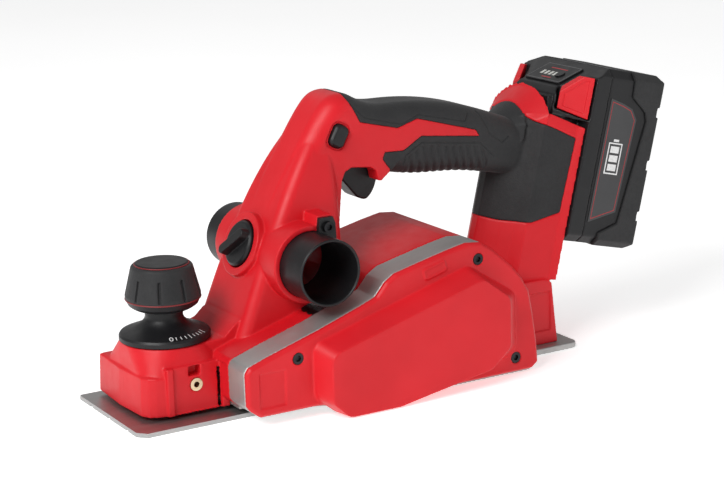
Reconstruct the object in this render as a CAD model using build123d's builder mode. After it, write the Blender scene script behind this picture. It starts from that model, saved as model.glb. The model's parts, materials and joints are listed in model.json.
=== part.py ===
"""Battery electric hand planer as an assembly of separate pieces.

Millimetres. +X runs from the front shoe to the battery, -Y is the belt side, +Z is up.
The origin is on the sole, at the middle of its length and width.
"""

import math
import os

from build123d import *

os.makedirs("parts", exist_ok=True)

# ---------------------------------------------------------------- driving dimensions
SOLE_LENGTH = 290.0
SOLE_WIDTH = 82.0
HALF_LENGTH = SOLE_LENGTH / 2
HALF_SOLE = SOLE_WIDTH / 2
REAR_PLATE_T = 3.75
FRONT_SHOE_T = 2.5
FRONT_SHOE_END = -43.5
REAR_SHOE_START = -6.0
CUT_DEPTH = 2.0

DRUM_X, DRUM_Z = -24.0, 24.0
BLADE_R = 24.0
MOTOR_X, MOTOR_Z = 44.0, 42.0

KNOB_X = -109.0
DUCT_X, DUCT_Z = -37.5, 79.2
DUCT_OUTER_R, DUCT_INNER_R = 18.7, 17.2
NEAR_SEAT, FAR_SEAT = -38.75, 33.55

BAND_FAR, BAND_NEAR = -41.0, -60.0
FLANGE_NEAR = -63.5
COVER_FACE = -76.0

TOOL_BOTTOM = FRONT_SHOE_T + CUT_DEPTH + 0.3
HANDLE_HALF = 19.0
HANDLE_EDGE_R = 11.0
BATTERY_TILT = 13.4
BATTERY_HALF = 38.0

RUNNING = 0.05

# ---------------------------------------------------------------- directions and planes
TILT_COS = math.cos(math.radians(BATTERY_TILT))
TILT_SIN = math.sin(math.radians(BATTERY_TILT))
OUTWARD = Vector(TILT_COS, 0, -TILT_SIN)
UPWARD = Vector(TILT_SIN, 0, TILT_COS)
SELECTOR_TILT = 22.0
SELECTOR_DIR = Vector(-math.cos(math.radians(SELECTOR_TILT)), 0, math.sin(math.radians(SELECTOR_TILT)))
SELECTOR_AT = Vector(-60.0, 0, 86.7)


def across(outward, along):
    """A point of the tilted battery frame, as X and Z."""
    return (outward * TILT_COS + along * TILT_SIN, along * TILT_COS - outward * TILT_SIN)


def section_plane(along):
    """The plane square to the battery's long axis; its x runs outward and its y is +Y."""
    return Plane(origin=UPWARD * along, x_dir=OUTWARD, z_dir=UPWARD)


def arch_plane(outward):
    """The plane facing the battery; its x is +Y and its y runs along the battery's long axis."""
    return Plane(origin=OUTWARD * outward, x_dir=(0, 1, 0), z_dir=OUTWARD)


def selector_plane(distance):
    """The plane square to the chip selector's shaft, at a distance in front of its collar."""
    return Plane(origin=SELECTOR_AT + SELECTOR_DIR * distance, x_dir=(0, 1, 0), z_dir=SELECTOR_DIR)


def side_slab(points, far, near):
    """A side outline in X and Z, extruded across Y from far to near."""
    with BuildPart() as slab:
        with BuildSketch(Plane.XZ.offset(-far)):
            with BuildLine():
                Polyline(*points, close=True)
            make_face()
        extrude(amount=far - near)
    return slab.part


def side_disc(x, z, radius, far, near):
    """A round bar along Y from far to near."""
    with BuildPart() as disc:
        with BuildSketch(Plane.XZ.offset(-far)):
            with Locations((x, z)):
                Circle(radius)
        extrude(amount=far - near)
    return disc.part


def tilted_prism(points, low, high):
    """A section in the battery frame, extruded along the battery's long axis."""
    with BuildPart() as prism:
        with BuildSketch(section_plane(low)):
            with BuildLine():
                Polyline(*points, close=True)
            make_face()
        extrude(amount=high - low)
    return prism.part


def mirrored(points):
    """A half section with its copy on the other side of Y = 0."""
    return points + [(outward, -y) for outward, y in reversed(points)]


def save(builder, name):
    """Labels a finished piece and writes it."""
    builder.part.label = name
    export_step(builder.part, f"parts/{name}.step")


def coil(radius, wire, height, turns, base):
    """A compression spring standing on the plane base."""
    with BuildPart() as spring:
        with BuildLine(base) as path:
            Helix(pitch=height / turns, height=height, radius=radius)
        with BuildSketch(Plane(origin=path.line @ 0, z_dir=path.line % 0)):
            Circle(wire)
        sweep(path=path.line, is_frenet=True)
    return spring.part


# ---------------------------------------------------------------- side outlines
# The band of the base frame and the belt cover share one outline.
BAND_TOP = [
    (-89.2, 10.5),
    (-91.4, 13.5),
    (-91.6, 31.8),
    (-89.4, 35.0),
    (-77.0, 39.2),
    (-46.0, 48.6),
    (-19.0, 57.8),
    (-9.5, 61.5),
    (-3.0, 69.0),
    (3.0, 72.8),
    (20.0, 76.8),
    (38.0, 80.9),
    (50.0, 83.2),
    (60.0, 82.2),
    (67.0, 77.7),
    (80.5, 66.0),
    (87.5, 58.0),
    (92.8, 49.0),
    (95.5, 35.4),
    (98.2, 18.0),
    (99.3, 5.0),
    (95.0, 0.0),
]
BAND_OUTLINE = BAND_TOP + [(-10.0, 0.0), (-50.0, 5.2), (-82.4, 5.2)]
COVER_OUTLINE = BAND_TOP[:-1] + [(95.0, 1.6), (30.0, 1.6), (0.0, 2.6), (-50.0, 6.2), (-83.4, 6.2)]

BUMP_BASE = [
    (-51.5, 42.2),
    (49.5, 71.2),
    (83.0, 49.5),
    (84.0, 14.0),
    (60.0, 6.5),
    (22.0, 2.2),
    (-4.0, 0.3),
    (-37.0, 0.3),
    (-51.5, 12.0),
]
BUMP_FACE = [
    (-45.7, 37.6),
    (52.5, 65.0),
    (70.8, 51.0),
    (70.8, 22.0),
    (58.0, 11.0),
    (20.0, 4.6),
    (-3.0, 0.6),
    (-35.5, 0.6),
    (-45.7, 10.5),
]
BUMP_CORNER_R = 7.5


def bump(inset, far, near):
    """The raised belt housing between its wide base outline and its smaller outer face."""
    with BuildPart() as shape:
        with BuildSketch(Plane.XZ.offset(-far)) as base:
            with BuildLine():
                Polyline(*BUMP_BASE, close=True)
            make_face()
            fillet(base.vertices(), radius=BUMP_CORNER_R)
            if inset:
                offset(amount=-inset, kind=Kind.INTERSECTION)
        with BuildSketch(Plane.XZ.offset(-near)) as face:
            with BuildLine():
                Polyline(*BUMP_FACE, close=True)
            make_face()
            fillet(face.vertices(), radius=BUMP_CORNER_R)
            if inset:
                offset(amount=-inset, kind=Kind.INTERSECTION)
        loft(ruled=True)
    return shape.part


# ---------------------------------------------------------------- handle and tower blanks
TOWER_FRONT = [
    (-75.5, 41.0),
    (-63.0, 71.9),
    (-49.0, 102.4),
    (-37.0, 125.2),
    (-25.4, 143.5),
    (-13.2, 160.6),
    (-0.4, 166.8),
]
HANDLE_TOP = [
    (-0.4, 166.8),
    (9.0, 163.6),
    (19.5, 159.2),
    (38.0, 157.6),
    (55.5, 156.4),
    (75.0, 153.0),
    (93.0, 147.8),
    (112.0, 140.8),
    (124.0, 136.0),
]
HANDLE_UNDER = [
    (122.0, 104.0),
    (110.0, 106.5),
    (96.0, 109.3),
    (75.0, 112.6),
    (54.4, 114.0),
    (36.0, 116.6),
]
TRIGGER_MOUTH = [
    (26.0, 118.6),
    (21.8, 115.2),
    (19.6, 115.4),
    (18.2, 121.4),
    (14.7, 123.8),
    (2.0, 125.2),
    (-2.0, 123.2),
    (-4.2, 118.6),
    (-7.5, 84.0),
    (-7.5, 41.0),
]


def spine():
    """Tower and handle in one sweep of the side outline, with rounded long edges."""
    with BuildPart() as shape:
        with BuildSketch(Plane.XZ):
            with BuildLine():
                Spline(*TOWER_FRONT, tangents=[(0.35, 0.94), (1.0, 0.0)])
                Spline(*HANDLE_TOP, tangents=[(1.0, 0.0), (0.93, -0.37)])
                Line(HANDLE_TOP[-1], HANDLE_UNDER[0])
                Spline(*HANDLE_UNDER)
                Polyline(HANDLE_UNDER[-1], *TRIGGER_MOUTH, TOWER_FRONT[0])
            make_face()
        extrude(amount=HANDLE_HALF, both=True)
        fillet(shape.edges().filter_by(GeomType.BSPLINE), radius=HANDLE_EDGE_R)
    return shape.part


def handle_bar(inset):
    """The handle's bar alone, set in from its outer skin."""
    top = [(x, z - inset) for x, z in HANDLE_TOP[1:]]
    under = [(x, z + inset) for x, z in HANDLE_UNDER + [(14.0, 119.8)]]
    with BuildPart() as bar:
        with BuildSketch(Plane.XZ):
            with BuildLine():
                Spline(*top)
                Line(top[-1], under[0])
                Spline(*under)
                Line(under[-1], top[0])
            make_face()
        extrude(amount=HANDLE_HALF - inset, both=True)
        fillet(bar.edges().filter_by(GeomType.BSPLINE), radius=HANDLE_EDGE_R - inset)
    return bar.part


def tower_flare():
    """The lower tower, wider than the handle, from the base up to where the two blend."""
    levels = [
        (36.0, -77.5, 28.0),
        (72.0, -63.0, 26.5),
        (102.0, -49.2, 24.5),
        (126.0, -36.0, 21.0),
        (146.0, -22.0, 16.0),
    ]
    with BuildPart() as flare:
        for z, front, half in levels:
            with BuildSketch(Plane.XY.offset(z)):
                with Locations(((front - 7.5) / 2, 0)):
                    RectangleRounded(-7.5 - front, 2 * half, 6.5)
        loft()
    return flare.part


# ---------------------------------------------------------------- column blanks
# Half section of the rear column, as outward distance and Y.
COLUMN_HALF = [
    (76.8, -3.0),
    (80.0, -8.5),
    (85.0, -15.6),
    (90.2, -21.6),
    (94.5, -28.0),
    (114.2, -33.0),
    (118.0, -36.5),
]
COLUMN_LOW, COLUMN_HIGH = 44.0, 172.0
COLLAR_FRONT, COLLAR_BACK = 86.5, 97.2
POCKET_FRONT, POCKET_HALF = 97.4, 27.6
# The column's top edge: up under the dome, then down along the walls beside the battery's slide.
COLUMN_TOP = [
    across(70.0, 156.0),
    across(77.0, 158.0),
    across(87.0, 167.5),
    across(COLLAR_BACK, 169.4),
    across(121.0, 163.7),
    across(121.0, 190.0),
    across(70.0, 190.0),
]


def column(inset):
    """The tilted rear column that carries the battery, without its domed top."""
    half = [(v + inset, y + inset) for v, y in COLUMN_HALF]
    return tilted_prism(mirrored(half), COLUMN_LOW, COLUMN_HIGH) - side_slab(COLUMN_TOP, 45.0, -45.0)


def arch(outward, half, foot, shoulder, crown):
    """An arched face: straight sides up to the shoulder, then one arc over the crown."""
    with BuildSketch(arch_plane(outward)) as face:
        with BuildLine():
            ThreePointArc((-half, shoulder), (0, crown), (half, shoulder))
            Polyline((half, shoulder), (half, foot), (-half, foot), (-half, shoulder))
        make_face()
    return face.sketch


def dome(inset):
    """The rounded black shoulder where the handle runs into the column."""
    with BuildPart() as shape:
        add(arch(76.5 + inset, 12.0 - inset, 150.0, 157.0 - inset, 162.5 - inset))
        add(arch(COLLAR_FRONT, 20.6 - inset, 150.0, 161.0 - inset, 172.0 - inset))
        loft()
    return shape.part


def collar():
    """The flared ring behind the handle, in front of the battery."""
    with BuildPart() as shape:
        add(arch(COLLAR_FRONT, 21.2, 140.0, 161.5, 172.6))
        add(arch(COLLAR_BACK - 2.0, 29.0, 140.0, 168.5, 182.6))
        loft()
        add(arch(COLLAR_BACK - 2.0, 29.0, 140.0, 168.5, 182.6))
        extrude(amount=2.0)
    return shape.part


# ---------------------------------------------------------------- red body blank
LOWER_OUTLINE = BAND_TOP[:-4] + [
    (93.5, 40.0),
    (93.5, REAR_PLATE_T),
    (-5.0, REAR_PLATE_T),
    (-5.0, TOOL_BOTTOM),
    (-82.4, TOOL_BOTTOM),
]
FOOT_OUTLINE = [(90.0, REAR_PLATE_T), (134.3, REAR_PLATE_T), (130.0, 41.5), (125.0, 44.0), (90.0, 44.0)]
FRONT_PLAN = [
    (-134.3, 36.5),
    (-136.0, 5.0),
    (-134.5, -19.8),
    (-132.0, -24.9),
    (-128.0, -27.4),
    (-119.6, -29.4),
    (-80.0, -31.0),
    (-80.0, 36.5),
]
FRONT_WALL_TOP, MOUND_TOP = 26.4, 40.8


def lower_body():
    """The motor and drum part of the body; its far top edge slopes away."""
    with BuildPart() as body:
        add(side_slab(LOWER_OUTLINE, HALF_SOLE, BAND_FAR + 0.01))
        far_top = body.edges().filter_by_position(Axis.Y, HALF_SOLE - 0.1, HALF_SOLE + 0.1)
        chamfer(far_top.filter_by(lambda e: e.center().Z > 34.6), 9.0, 16.0)
    return body.part


def front_body():
    """The rounded block under the depth knob, its sloping top and the wall of the guide panel."""
    with BuildPart() as block:
        with BuildSketch(Plane.XY.offset(TOOL_BOTTOM)):
            with BuildLine():
                Polyline(*FRONT_PLAN, close=True)
            make_face()
        extrude(amount=FRONT_WALL_TOP + 1.0 - TOOL_BOTTOM, taper=2.0)
        top = block.edges().group_by(Axis.Z)[-1].filter_by(lambda e: e.center().X < -90)
        chamfer(top, 1.0, 2.0)
    with BuildPart() as mound:
        with BuildSketch(Plane.XY.offset(FRONT_WALL_TOP)):
            with Locations((KNOB_X + 0.6, 3.0)):
                RectangleRounded(50.0, 62.0, 14.0)
        with BuildSketch(Plane.XY.offset(MOUND_TOP)):
            with Locations((KNOB_X, 0.0)):
                RectangleRounded(49.0, 49.0, 23.5)
        loft()
    panel_wall = Pos(-104.8, -26.6, 18.2) * Box(35.6, 7.0, 26.8)
    saddle = [
        (-109.0, 30.0),
        (-109.0, 40.2),
        (-90.0, 40.6),
        (-83.2, 41.0),
        (-76.0, 47.5),
        (-68.0, 52.5),
        (-60.0, 52.5),
        (-60.0, 30.0),
    ]
    return block.part + mound.part + panel_wall + side_slab(saddle, 21.0, -21.0)


# ---------------------------------------------------------------- housing halves and overmoulds
SCREW_HEAD_R, SCREW_HEAD_T, SCREW_R = 3.0, 1.9, 1.5
# Side position and head height of each screw that clamps the two halves.
HOUSING_SCREWS = [
    ((-60.0, 60.0), 22.0),
    ((-16.0, 128.0), 15.0),
    ((97.0, 128.0), 15.0),
    (across(88.0, 68.0), 15.0),
    ((109.0, 15.0), 30.0),
    ((13.0, 62.0), 34.0),
    ((84.0, 14.0), 37.0),
]
SCREW_TIP = -12.0
BUTTON_AT = (-6.0, 144.2)
BUTTON_ANGLE = 62.0
TRIGGER_HALF = 7.5
PIVOT = (7.3, 128.5)
PIN_R, PIN_HALF = 1.5, 12.4


def button_bar(width, length, radius, far, near):
    """The rounded rectangular bar of the lock-off button, along Y."""
    with BuildPart() as bar:
        with BuildSketch(Plane.XZ.offset(-far)):
            with Locations(Location(BUTTON_AT + (0,), BUTTON_ANGLE)):
                RectangleRounded(length, width, radius)
        extrude(amount=far - near)
    return bar.part


BLACK_OUTLINE = [
    (0.5, 174.0),
    (1.2, 164.6),
    (8.4, 150.4),
    (33.0, 144.3),
    (46.4, 148.2),
    (86.4, 137.0),
    (89.2, 132.9),
    (49.0, 137.7),
    (36.8, 130.7),
    (24.3, 131.2),
    (22.8, 127.4),
    (27.5, 121.2),
    (27.4, 117.0),
    (31.0, 104.0),
    (86.0, 96.0),
    (88.0, 83.6),
    (105.0, 79.4),
    (119.0, 78.6),
    across(113.6, 112.5),
    across(114.7, 157.5),
    across(101.0, 161.2),
    across(90.0, 163.5),
    across(COLLAR_FRONT, 165.5),
    across(COLLAR_FRONT, 178.0),
]
black_region = side_slab(BLACK_OUTLINE, 45.0, -45.0)
above_foot = side_slab([(60.0, 43.0), (180.0, 43.0), (180.0, 200.0), (60.0, 200.0)], 50.0, -50.0)

tower_and_handle = spine()
rear_column = column(0.0) & above_foot
black_dome = dome(0.0)
selector_ring = Part() + [
    extrude(selector_plane(-16.0) * Circle(18.5), amount=16.6, dir=SELECTOR_DIR),
]
port_boss = side_disc(DUCT_X, DUCT_Z, 22.0, FAR_SEAT - 0.05, NEAR_SEAT + 0.05)
tab_block_side = [(-35.0, 88.0), (-20.0, 88.0), (-20.5, 104.0), (-23.0, 106.0), (-32.0, 106.0)]
tab_block = side_slab(tab_block_side, FAR_SEAT - 0.05, NEAR_SEAT + 0.05)
outer = tower_and_handle + tower_flare() + lower_body() + side_slab(FOOT_OUTLINE, 34.0, -34.0)
outer = outer + front_body() + port_boss + tab_block + selector_ring
outer = outer + rear_column + black_dome + collar()

# Everything that the halves leave open inside.
drum_chamber = side_disc(DRUM_X, DRUM_Z, 30.5, 45.0, -45.0)
motor_chamber = side_disc(MOTOR_X, MOTOR_Z, 30.0, 33.0, -24.5)
motor_chamber += side_disc(MOTOR_X, MOTOR_Z, 33.0, -24.5, -45.0)
duct_bore = side_disc(DUCT_X, DUCT_Z, DUCT_OUTER_R + 0.05, 45.0, -45.0)
chip_passage = side_slab([(-46.0, 44.0), (-10.0, 48.0), (-20.0, 72.0), (-54.0, 72.0)], 18.0, -18.0)
switch_room_side = [(-1.2, 131.5), (-1.2, 151.0), (36.8, 150.0), (85.0, 142.0), (85.0, 120.5), (29.0, 126.0)]
switch_room = side_slab(switch_room_side, 12.5, -12.5)
trigger_slot_side = [(2.0, 100.0), (28.8, 100.0), (28.8, 132.0), (2.0, 132.0)]
trigger_slot = side_slab(trigger_slot_side, TRIGGER_HALF + 0.6, -TRIGGER_HALF - 0.6)
button_bore = button_bar(10.2, 13.6, 3.6, 30.0, -30.0)
wire_room = tilted_prism(mirrored([(84.0, -5.0), (88.0, -11.0), (92.0, -14.0)]), 84.0, 152.0)
slide_pocket = tilted_prism(mirrored([(POCKET_FRONT, -POCKET_HALF), (125.0, -POCKET_HALF)]), 104.0, 200.0)
terminal_window = tilted_prism(mirrored([(91.5, -14.0), (98.5, -14.0)]), 118.0, 146.0)
front_hollow = Pos(-108.0, 6.0, 14.5) * Box(34.0, 46.0, 21.0)
middle_hollow = Pos(-68.0, 3.5, 16.0) * Box(48.0, 63.0, 24.0)
middle_hollow += Pos(-64.8, -34.5, 16.0) * Box(41.6, 13.0, 24.0)
knob_bore = Pos(KNOB_X, 0, 21.0) * Cylinder(12.4, 35.0) + Pos(KNOB_X, 0, 36.0) * Cylinder(5.6, 20.0)
detent_bore = Pos(KNOB_X + 18.0, 0, 36.0) * Cylinder(2.0, 12.0)
guide_panel = Pos(-104.3, -34.0, 18.3) * Box(28.5, 11.6, 26.6)
insert_bore = side_disc(-104.6, 20.0, 3.6, -19.0, -40.0)
square_hole = Pos(-105.4, -28.0, 28.0) * Box(6.9, 12.0, 5.6)
selector_recess = extrude(selector_plane(-3.2) * Circle(13.8), amount=6.0, dir=SELECTOR_DIR)
selector_bore = extrude(selector_plane(-30.0) * Circle(3.0 + RUNNING), amount=30.0, dir=SELECTOR_DIR)
foot_panels = Part() + [Pos(121.5, side * 34.0, 24.0) * Box(15.0, 2.4, 24.0) for side in (-1, 1)]
vents = Part() + [Pos(MOTOR_X + 6.5 * step, 38.0, 44.0) * Box(3.2, 14.0, 34.0) for step in range(-3, 4)]
screw_bores = Part()
for (x, z), head in HOUSING_SCREWS:
    screw_bores += side_disc(x, z, SCREW_HEAD_R + 0.2, 60.0, head - SCREW_HEAD_T)
    screw_bores += side_disc(x, z, SCREW_R + 0.1, head, SCREW_TIP - 1.0)
PLATE_SCREWS = [(20.0, 33.0), (20.0, -33.0), (120.0, 26.0), (120.0, -26.0)]
plate_bores = Part() + [Pos(x, y, 9.0) * Cylinder(2.0, 14.0) for x, y in PLATE_SCREWS]
trigger_pin_bore = side_disc(*PIVOT, PIN_R, PIN_HALF, -PIN_HALF)

rooms = [drum_chamber, motor_chamber, duct_bore, chip_passage, switch_room, trigger_slot, button_bore]
rooms += [wire_room, slide_pocket, terminal_window, front_hollow, middle_hollow, knob_bore, detent_bore]
rooms += [guide_panel, insert_bore, square_hole, selector_recess, selector_bore, foot_panels, vents]
rooms += [screw_bores, plate_bores, trigger_pin_bore]

skin = tower_and_handle + rear_column + black_dome
core_bar = handle_bar(2.2) + column(2.2) + dome(2.2)
core = (outer - black_region) + (core_bar & black_region & outer)
grip = (skin & black_region) - core_bar
for room in rooms:
    core = core - room
    grip = grip - room

# Rails that the battery's grooves slide on.
rail_half = [(105.6, -POCKET_HALF - 0.5), (105.6, -24.6), (109.4, -24.6), (109.4, -POCKET_HALF - 0.5)]
core = core + tilted_prism(rail_half, 108.0, 160.0)
core = core + tilted_prism([(v, -y) for v, y in rail_half], 108.0, 160.0)

near_side = Pos(0, -100.0, 100.0) * Box(500.0, 200.0, 260.0)
far_side = Pos(0, 100.0, 100.0) * Box(500.0, 200.0, 260.0)

with BuildPart() as left_housing:
    add(core & near_side)
save(left_housing, "left_housing")

with BuildPart() as right_housing:
    add(core & far_side)
save(right_housing, "right_housing")

with BuildPart() as left_grip:
    add(grip & near_side)
save(left_grip, "left_grip_overmould")

with BuildPart() as right_grip:
    add(grip & far_side)
save(right_grip, "right_grip_overmould")


# ---------------------------------------------------------------- base frame, shoes and guides
WEB_FAR, WEB_NEAR = -41.0, -44.0
BOSS_NEAR = -49.0
HOOD_INNER, HOOD_OUTER = 26.0, 29.5
NEAR_BEARING_R, FAR_BEARING_R = 11.0, 9.5
CHEEK_FAR, CHEEK_NEAR = 47.0, 41.0
REBATE_HEIGHT = 11.0
GUIDE_PINS = [(-70.0, 20.0), (-70.0, -20.0)]
POST_R = 8.0
COVER_SCREWS = [(-60.0, 35.5), (57.3, 73.0), (83.0, 10.4)]

rear_length = HALF_LENGTH - REAR_SHOE_START
rear_plate = Box(rear_length, SOLE_WIDTH, REAR_PLATE_T)
rear_plate = Pos(HALF_LENGTH - rear_length / 2, 0, REAR_PLATE_T / 2) * rear_plate
rear_plate = fillet(rear_plate.edges().filter_by(Axis.Z).group_by(Axis.X)[-1], 5.0)
# The open notch that the parking foot swings down through.
rear_plate = rear_plate - Pos(126.5, 38.5, REAR_PLATE_T / 2) * Box(40.0, 7.0, 6.0)
web = side_slab(BAND_OUTLINE, WEB_FAR, BAND_NEAR)
with BuildPart() as band_room:
    with BuildSketch(Plane.XZ.offset(-WEB_NEAR)):
        with BuildLine():
            Polyline(*BAND_OUTLINE, close=True)
        make_face()
        offset(amount=-3.5, kind=Kind.INTERSECTION)
    extrude(amount=30.0)
hood_bore = side_disc(DRUM_X, DRUM_Z, HOOD_INNER, 50.0, -50.0)
hood_ring = side_disc(DRUM_X, DRUM_Z, HOOD_OUTER, 40.6, WEB_FAR) - hood_bore
hood_sector = side_slab([(-24.0, 24.0), (10.0, 4.2), (40.0, 24.0), (-6.0, 70.0)], 41.0, WEB_FAR)
cheek_arm = side_slab([(-27.0, 15.0), (-13.0, 13.5), (-1.5, 40.0), (-14.0, 51.0)], CHEEK_FAR, CHEEK_NEAR)
link_ring = side_disc(DRUM_X, DRUM_Z, HOOD_OUTER, 42.0, 40.0) - hood_bore
cheek_link = link_ring & side_slab([(-1.5, 40.0), (-14.0, 51.0), (-17.0, 46.0), (-6.0, 35.0)], 42.0, 40.0)
cheek = side_disc(DRUM_X, DRUM_Z, 13.0, CHEEK_FAR, CHEEK_NEAR) + cheek_arm
deck = Pos(-68.5, 3.2, 7.1) * Box(39.0, 61.6, 3.8) + Pos(-67.2, -34.3, 7.1) * Box(36.4, 13.4, 3.8)
deck = deck + Pos(-106.0, 6.0, 7.1) * Box(36.0, 44.0, 3.8)
knob_boss = Pos(KNOB_X, 0, 22.0) * Cylinder(12.0, 33.0)
pin_bosses = Part() + [Pos(x, y, 15.0) * Cylinder(6.0, 12.4) for x, y in GUIDE_PINS]
bearing_bosses = side_disc(DRUM_X, DRUM_Z, 14.5, WEB_FAR, BOSS_NEAR)
bearing_bosses += side_disc(MOTOR_X, MOTOR_Z, 14.5, WEB_FAR, BOSS_NEAR)
screw_posts = Part()
for x, z in COVER_SCREWS:
    screw_posts += side_disc(x, z, 4.5, WEB_FAR, BAND_NEAR)
frame = (web - band_room.part) + bearing_bosses + (screw_posts & web)
frame = frame - side_disc(DRUM_X, DRUM_Z, 25.5, WEB_FAR, -40.0) + rear_plate
frame = frame + (hood_ring & hood_sector) + cheek_link + cheek
frame = frame + deck + knob_boss + pin_bosses
for x, z in ((DRUM_X, DRUM_Z), (MOTOR_X, MOTOR_Z)):
    frame = frame - side_disc(x, z, NEAR_BEARING_R, -42.0, -60.0) - side_disc(x, z, 6.5, 0.0, -60.0)
frame = frame - side_disc(DRUM_X, DRUM_Z, FAR_BEARING_R, 60.0, CHEEK_NEAR)
frame = frame - Pos(KNOB_X, 0, 13.0) * Cylinder(POST_R + RUNNING, 26.0)
frame = frame - Pos(KNOB_X, 0, 30.0) * Cylinder(5.0 + RUNNING, 30.0)
for x, y in GUIDE_PINS:
    frame = frame - Pos(x, y, 12.0) * Cylinder(3.0 + RUNNING, 24.0)
for x, z in COVER_SCREWS:
    frame = frame - side_disc(x, z, 1.6, -47.0, -70.0)
for x, y in PLATE_SCREWS:
    frame = frame - Pos(x, y, 2.0) * Cylinder(2.1, 6.0) - Pos(x, y, 1.05) * Cone(4.4, 2.3, 2.1)
foot_pin_bore = side_disc(139.0, 7.6, 1.5, 50.0, 20.0)
foot_lug_side = [(134.8, 3.7), (143.0, 3.7), (143.0, 7.6), (141.0, 10.6), (137.0, 10.6), (134.8, 8.0)]
foot_lug = side_slab(foot_lug_side, 33.6, 30.6)

with BuildPart() as base_frame:
    add(frame + foot_lug - foot_pin_bore)
save(base_frame, "base_frame")

with BuildPart() as front_shoe:
    with BuildSketch(Plane.XY):
        with BuildLine():
            Polyline(
                (-HALF_LENGTH, HALF_SOLE - 1.0),
                (-HALF_LENGTH, 5.0 - HALF_SOLE),
                (4.5 - HALF_LENGTH, -HALF_SOLE),
                (FRONT_SHOE_END, -HALF_SOLE),
                (FRONT_SHOE_END, HALF_SOLE),
                (1.0 - HALF_LENGTH, HALF_SOLE),
                close=True,
            )
        make_face()
    extrude(amount=FRONT_SHOE_T)
    with Locations((KNOB_X, 0, 12.0)):
        Cylinder(POST_R, 20.0)
    with Locations((KNOB_X, 0, 14.0)):
        Cylinder(5.0 + RUNNING, 20.0, mode=Mode.SUBTRACT)
    groove = [(0.0, 1.4), (-1.8, -0.1), (1.8, -0.1)]
    for offset_y in (-24.0, 0.0, 24.0):
        with BuildSketch(Plane.YZ.offset(-HALF_LENGTH - 1.0)):
            with BuildLine():
                Polyline(*[(y + offset_y, z) for y, z in groove], close=True)
            make_face()
        extrude(amount=110.0, mode=Mode.SUBTRACT)
save(front_shoe, "front_shoe")

with BuildPart() as shoe_guide_pins:
    for x, y in GUIDE_PINS:
        with Locations((x, y, 11.0)):
            Cylinder(3.0, 17.0)
save(shoe_guide_pins, "shoe_guide_pins")


# ---------------------------------------------------------------- depth knob
DIAL_BOTTOM = 41.4
GRIP_BOTTOM, CAP_SEAT = 63.6, 82.0
GRIP_SLITS = 9

with BuildPart() as depth_dial:
    with BuildSketch(Plane.XZ):
        with BuildLine():
            Polyline((4.95, DIAL_BOTTOM), (25.4, DIAL_BOTTOM), (25.4, 43.6), (24.6, 44.8), (20.0, 46.6))
            Spline((20.0, 46.6), (14.0, 49.2), (11.0, 52.2), (10.6, 55.0))
            Line((10.6, 55.0), (10.6, 57.0))
            Spline((10.6, 57.0), (14.5, 57.8), (19.3, 60.6))
            Polyline((19.3, 60.6), (20.7, GRIP_BOTTOM), (4.95, GRIP_BOTTOM), (4.95, DIAL_BOTTOM))
        make_face()
    revolve(axis=Axis.Z)
depth_dial.part = Pos(KNOB_X, 0, 0) * depth_dial.part
save(depth_dial, "depth_dial")

with BuildPart() as depth_knob_grip:
    with BuildSketch(Plane.XZ):
        with BuildLine():
            Polyline((4.95, GRIP_BOTTOM), (20.8, GRIP_BOTTOM), (21.0, 66.0), (17.3, CAP_SEAT - 1.0))
            Spline((17.3, CAP_SEAT - 1.0), (16.6, CAP_SEAT + 0.3), (15.05, CAP_SEAT + 0.9))
            Polyline((15.05, CAP_SEAT + 0.9), (15.05, CAP_SEAT), (4.95, CAP_SEAT), (4.95, GRIP_BOTTOM))
        make_face()
    revolve(axis=Axis.Z)
    with PolarLocations(19.8, GRIP_SLITS):
        with Locations(Location((0, 0, 71.0), (0, -14.0, 0))):
            Box(3.0, 1.6, 12.0, mode=Mode.SUBTRACT)
depth_knob_grip.part = Pos(KNOB_X, 0, 0) * depth_knob_grip.part
save(depth_knob_grip, "depth_knob_grip")

with BuildPart() as depth_knob_cap:
    with BuildSketch(Plane.XZ):
        with BuildLine():
            Polyline((0, CAP_SEAT), (14.95, CAP_SEAT), (14.95, CAP_SEAT + 1.3), (14.0, CAP_SEAT + 2.0))
            Polyline((14.0, CAP_SEAT + 2.0), (0, CAP_SEAT + 2.4), (0, CAP_SEAT))
        make_face()
    revolve(axis=Axis.Z)
depth_knob_cap.part = Pos(KNOB_X, 0, 0) * depth_knob_cap.part
save(depth_knob_cap, "depth_knob_cap")

with BuildPart() as depth_screw:
    with Locations((KNOB_X, 0, 42.0)):
        Cylinder(4.95, 64.0)
    with Locations((KNOB_X, 0, 78.0)):
        Cylinder(4.95, 8.0)
save(depth_screw, "depth_screw")

with BuildPart() as detent_spring:
    add(coil(1.25, 0.3, 6.0, 5, Plane(origin=(KNOB_X + 18.0, 0, 31.0))))
save(detent_spring, "detent_spring")

with BuildPart() as detent_ball:
    with Locations((KNOB_X + 18.0, 0, 39.5)):
        Sphere(1.8)
save(detent_ball, "detent_ball")

with BuildPart() as guide_insert:
    add(side_disc(-104.6, 20.0, 3.6, -19.2, -28.6) - side_disc(-104.6, 20.0, 1.65, -10.0, -40.0))
save(guide_insert, "guide_insert")


# ---------------------------------------------------------------- cutter drum and its drive
DRUM_HALF = 40.4
PULLEY_FAR, PULLEY_NEAR = -57.0, -71.0
DRUM_PULLEY_R, MOTOR_PULLEY_R = 16.5, 11.8
BELT_T = 2.0
BLADE_ANGLES = (70.0, 250.0)


def blade_plane(angle):
    """The plane square to the drum's axis, its x running out through a blade slot."""
    radial = Vector(math.cos(math.radians(angle)), 0, math.sin(math.radians(angle)))
    return Plane(origin=(DRUM_X, DRUM_HALF, DRUM_Z), x_dir=radial, z_dir=(0, -1, 0))


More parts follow.
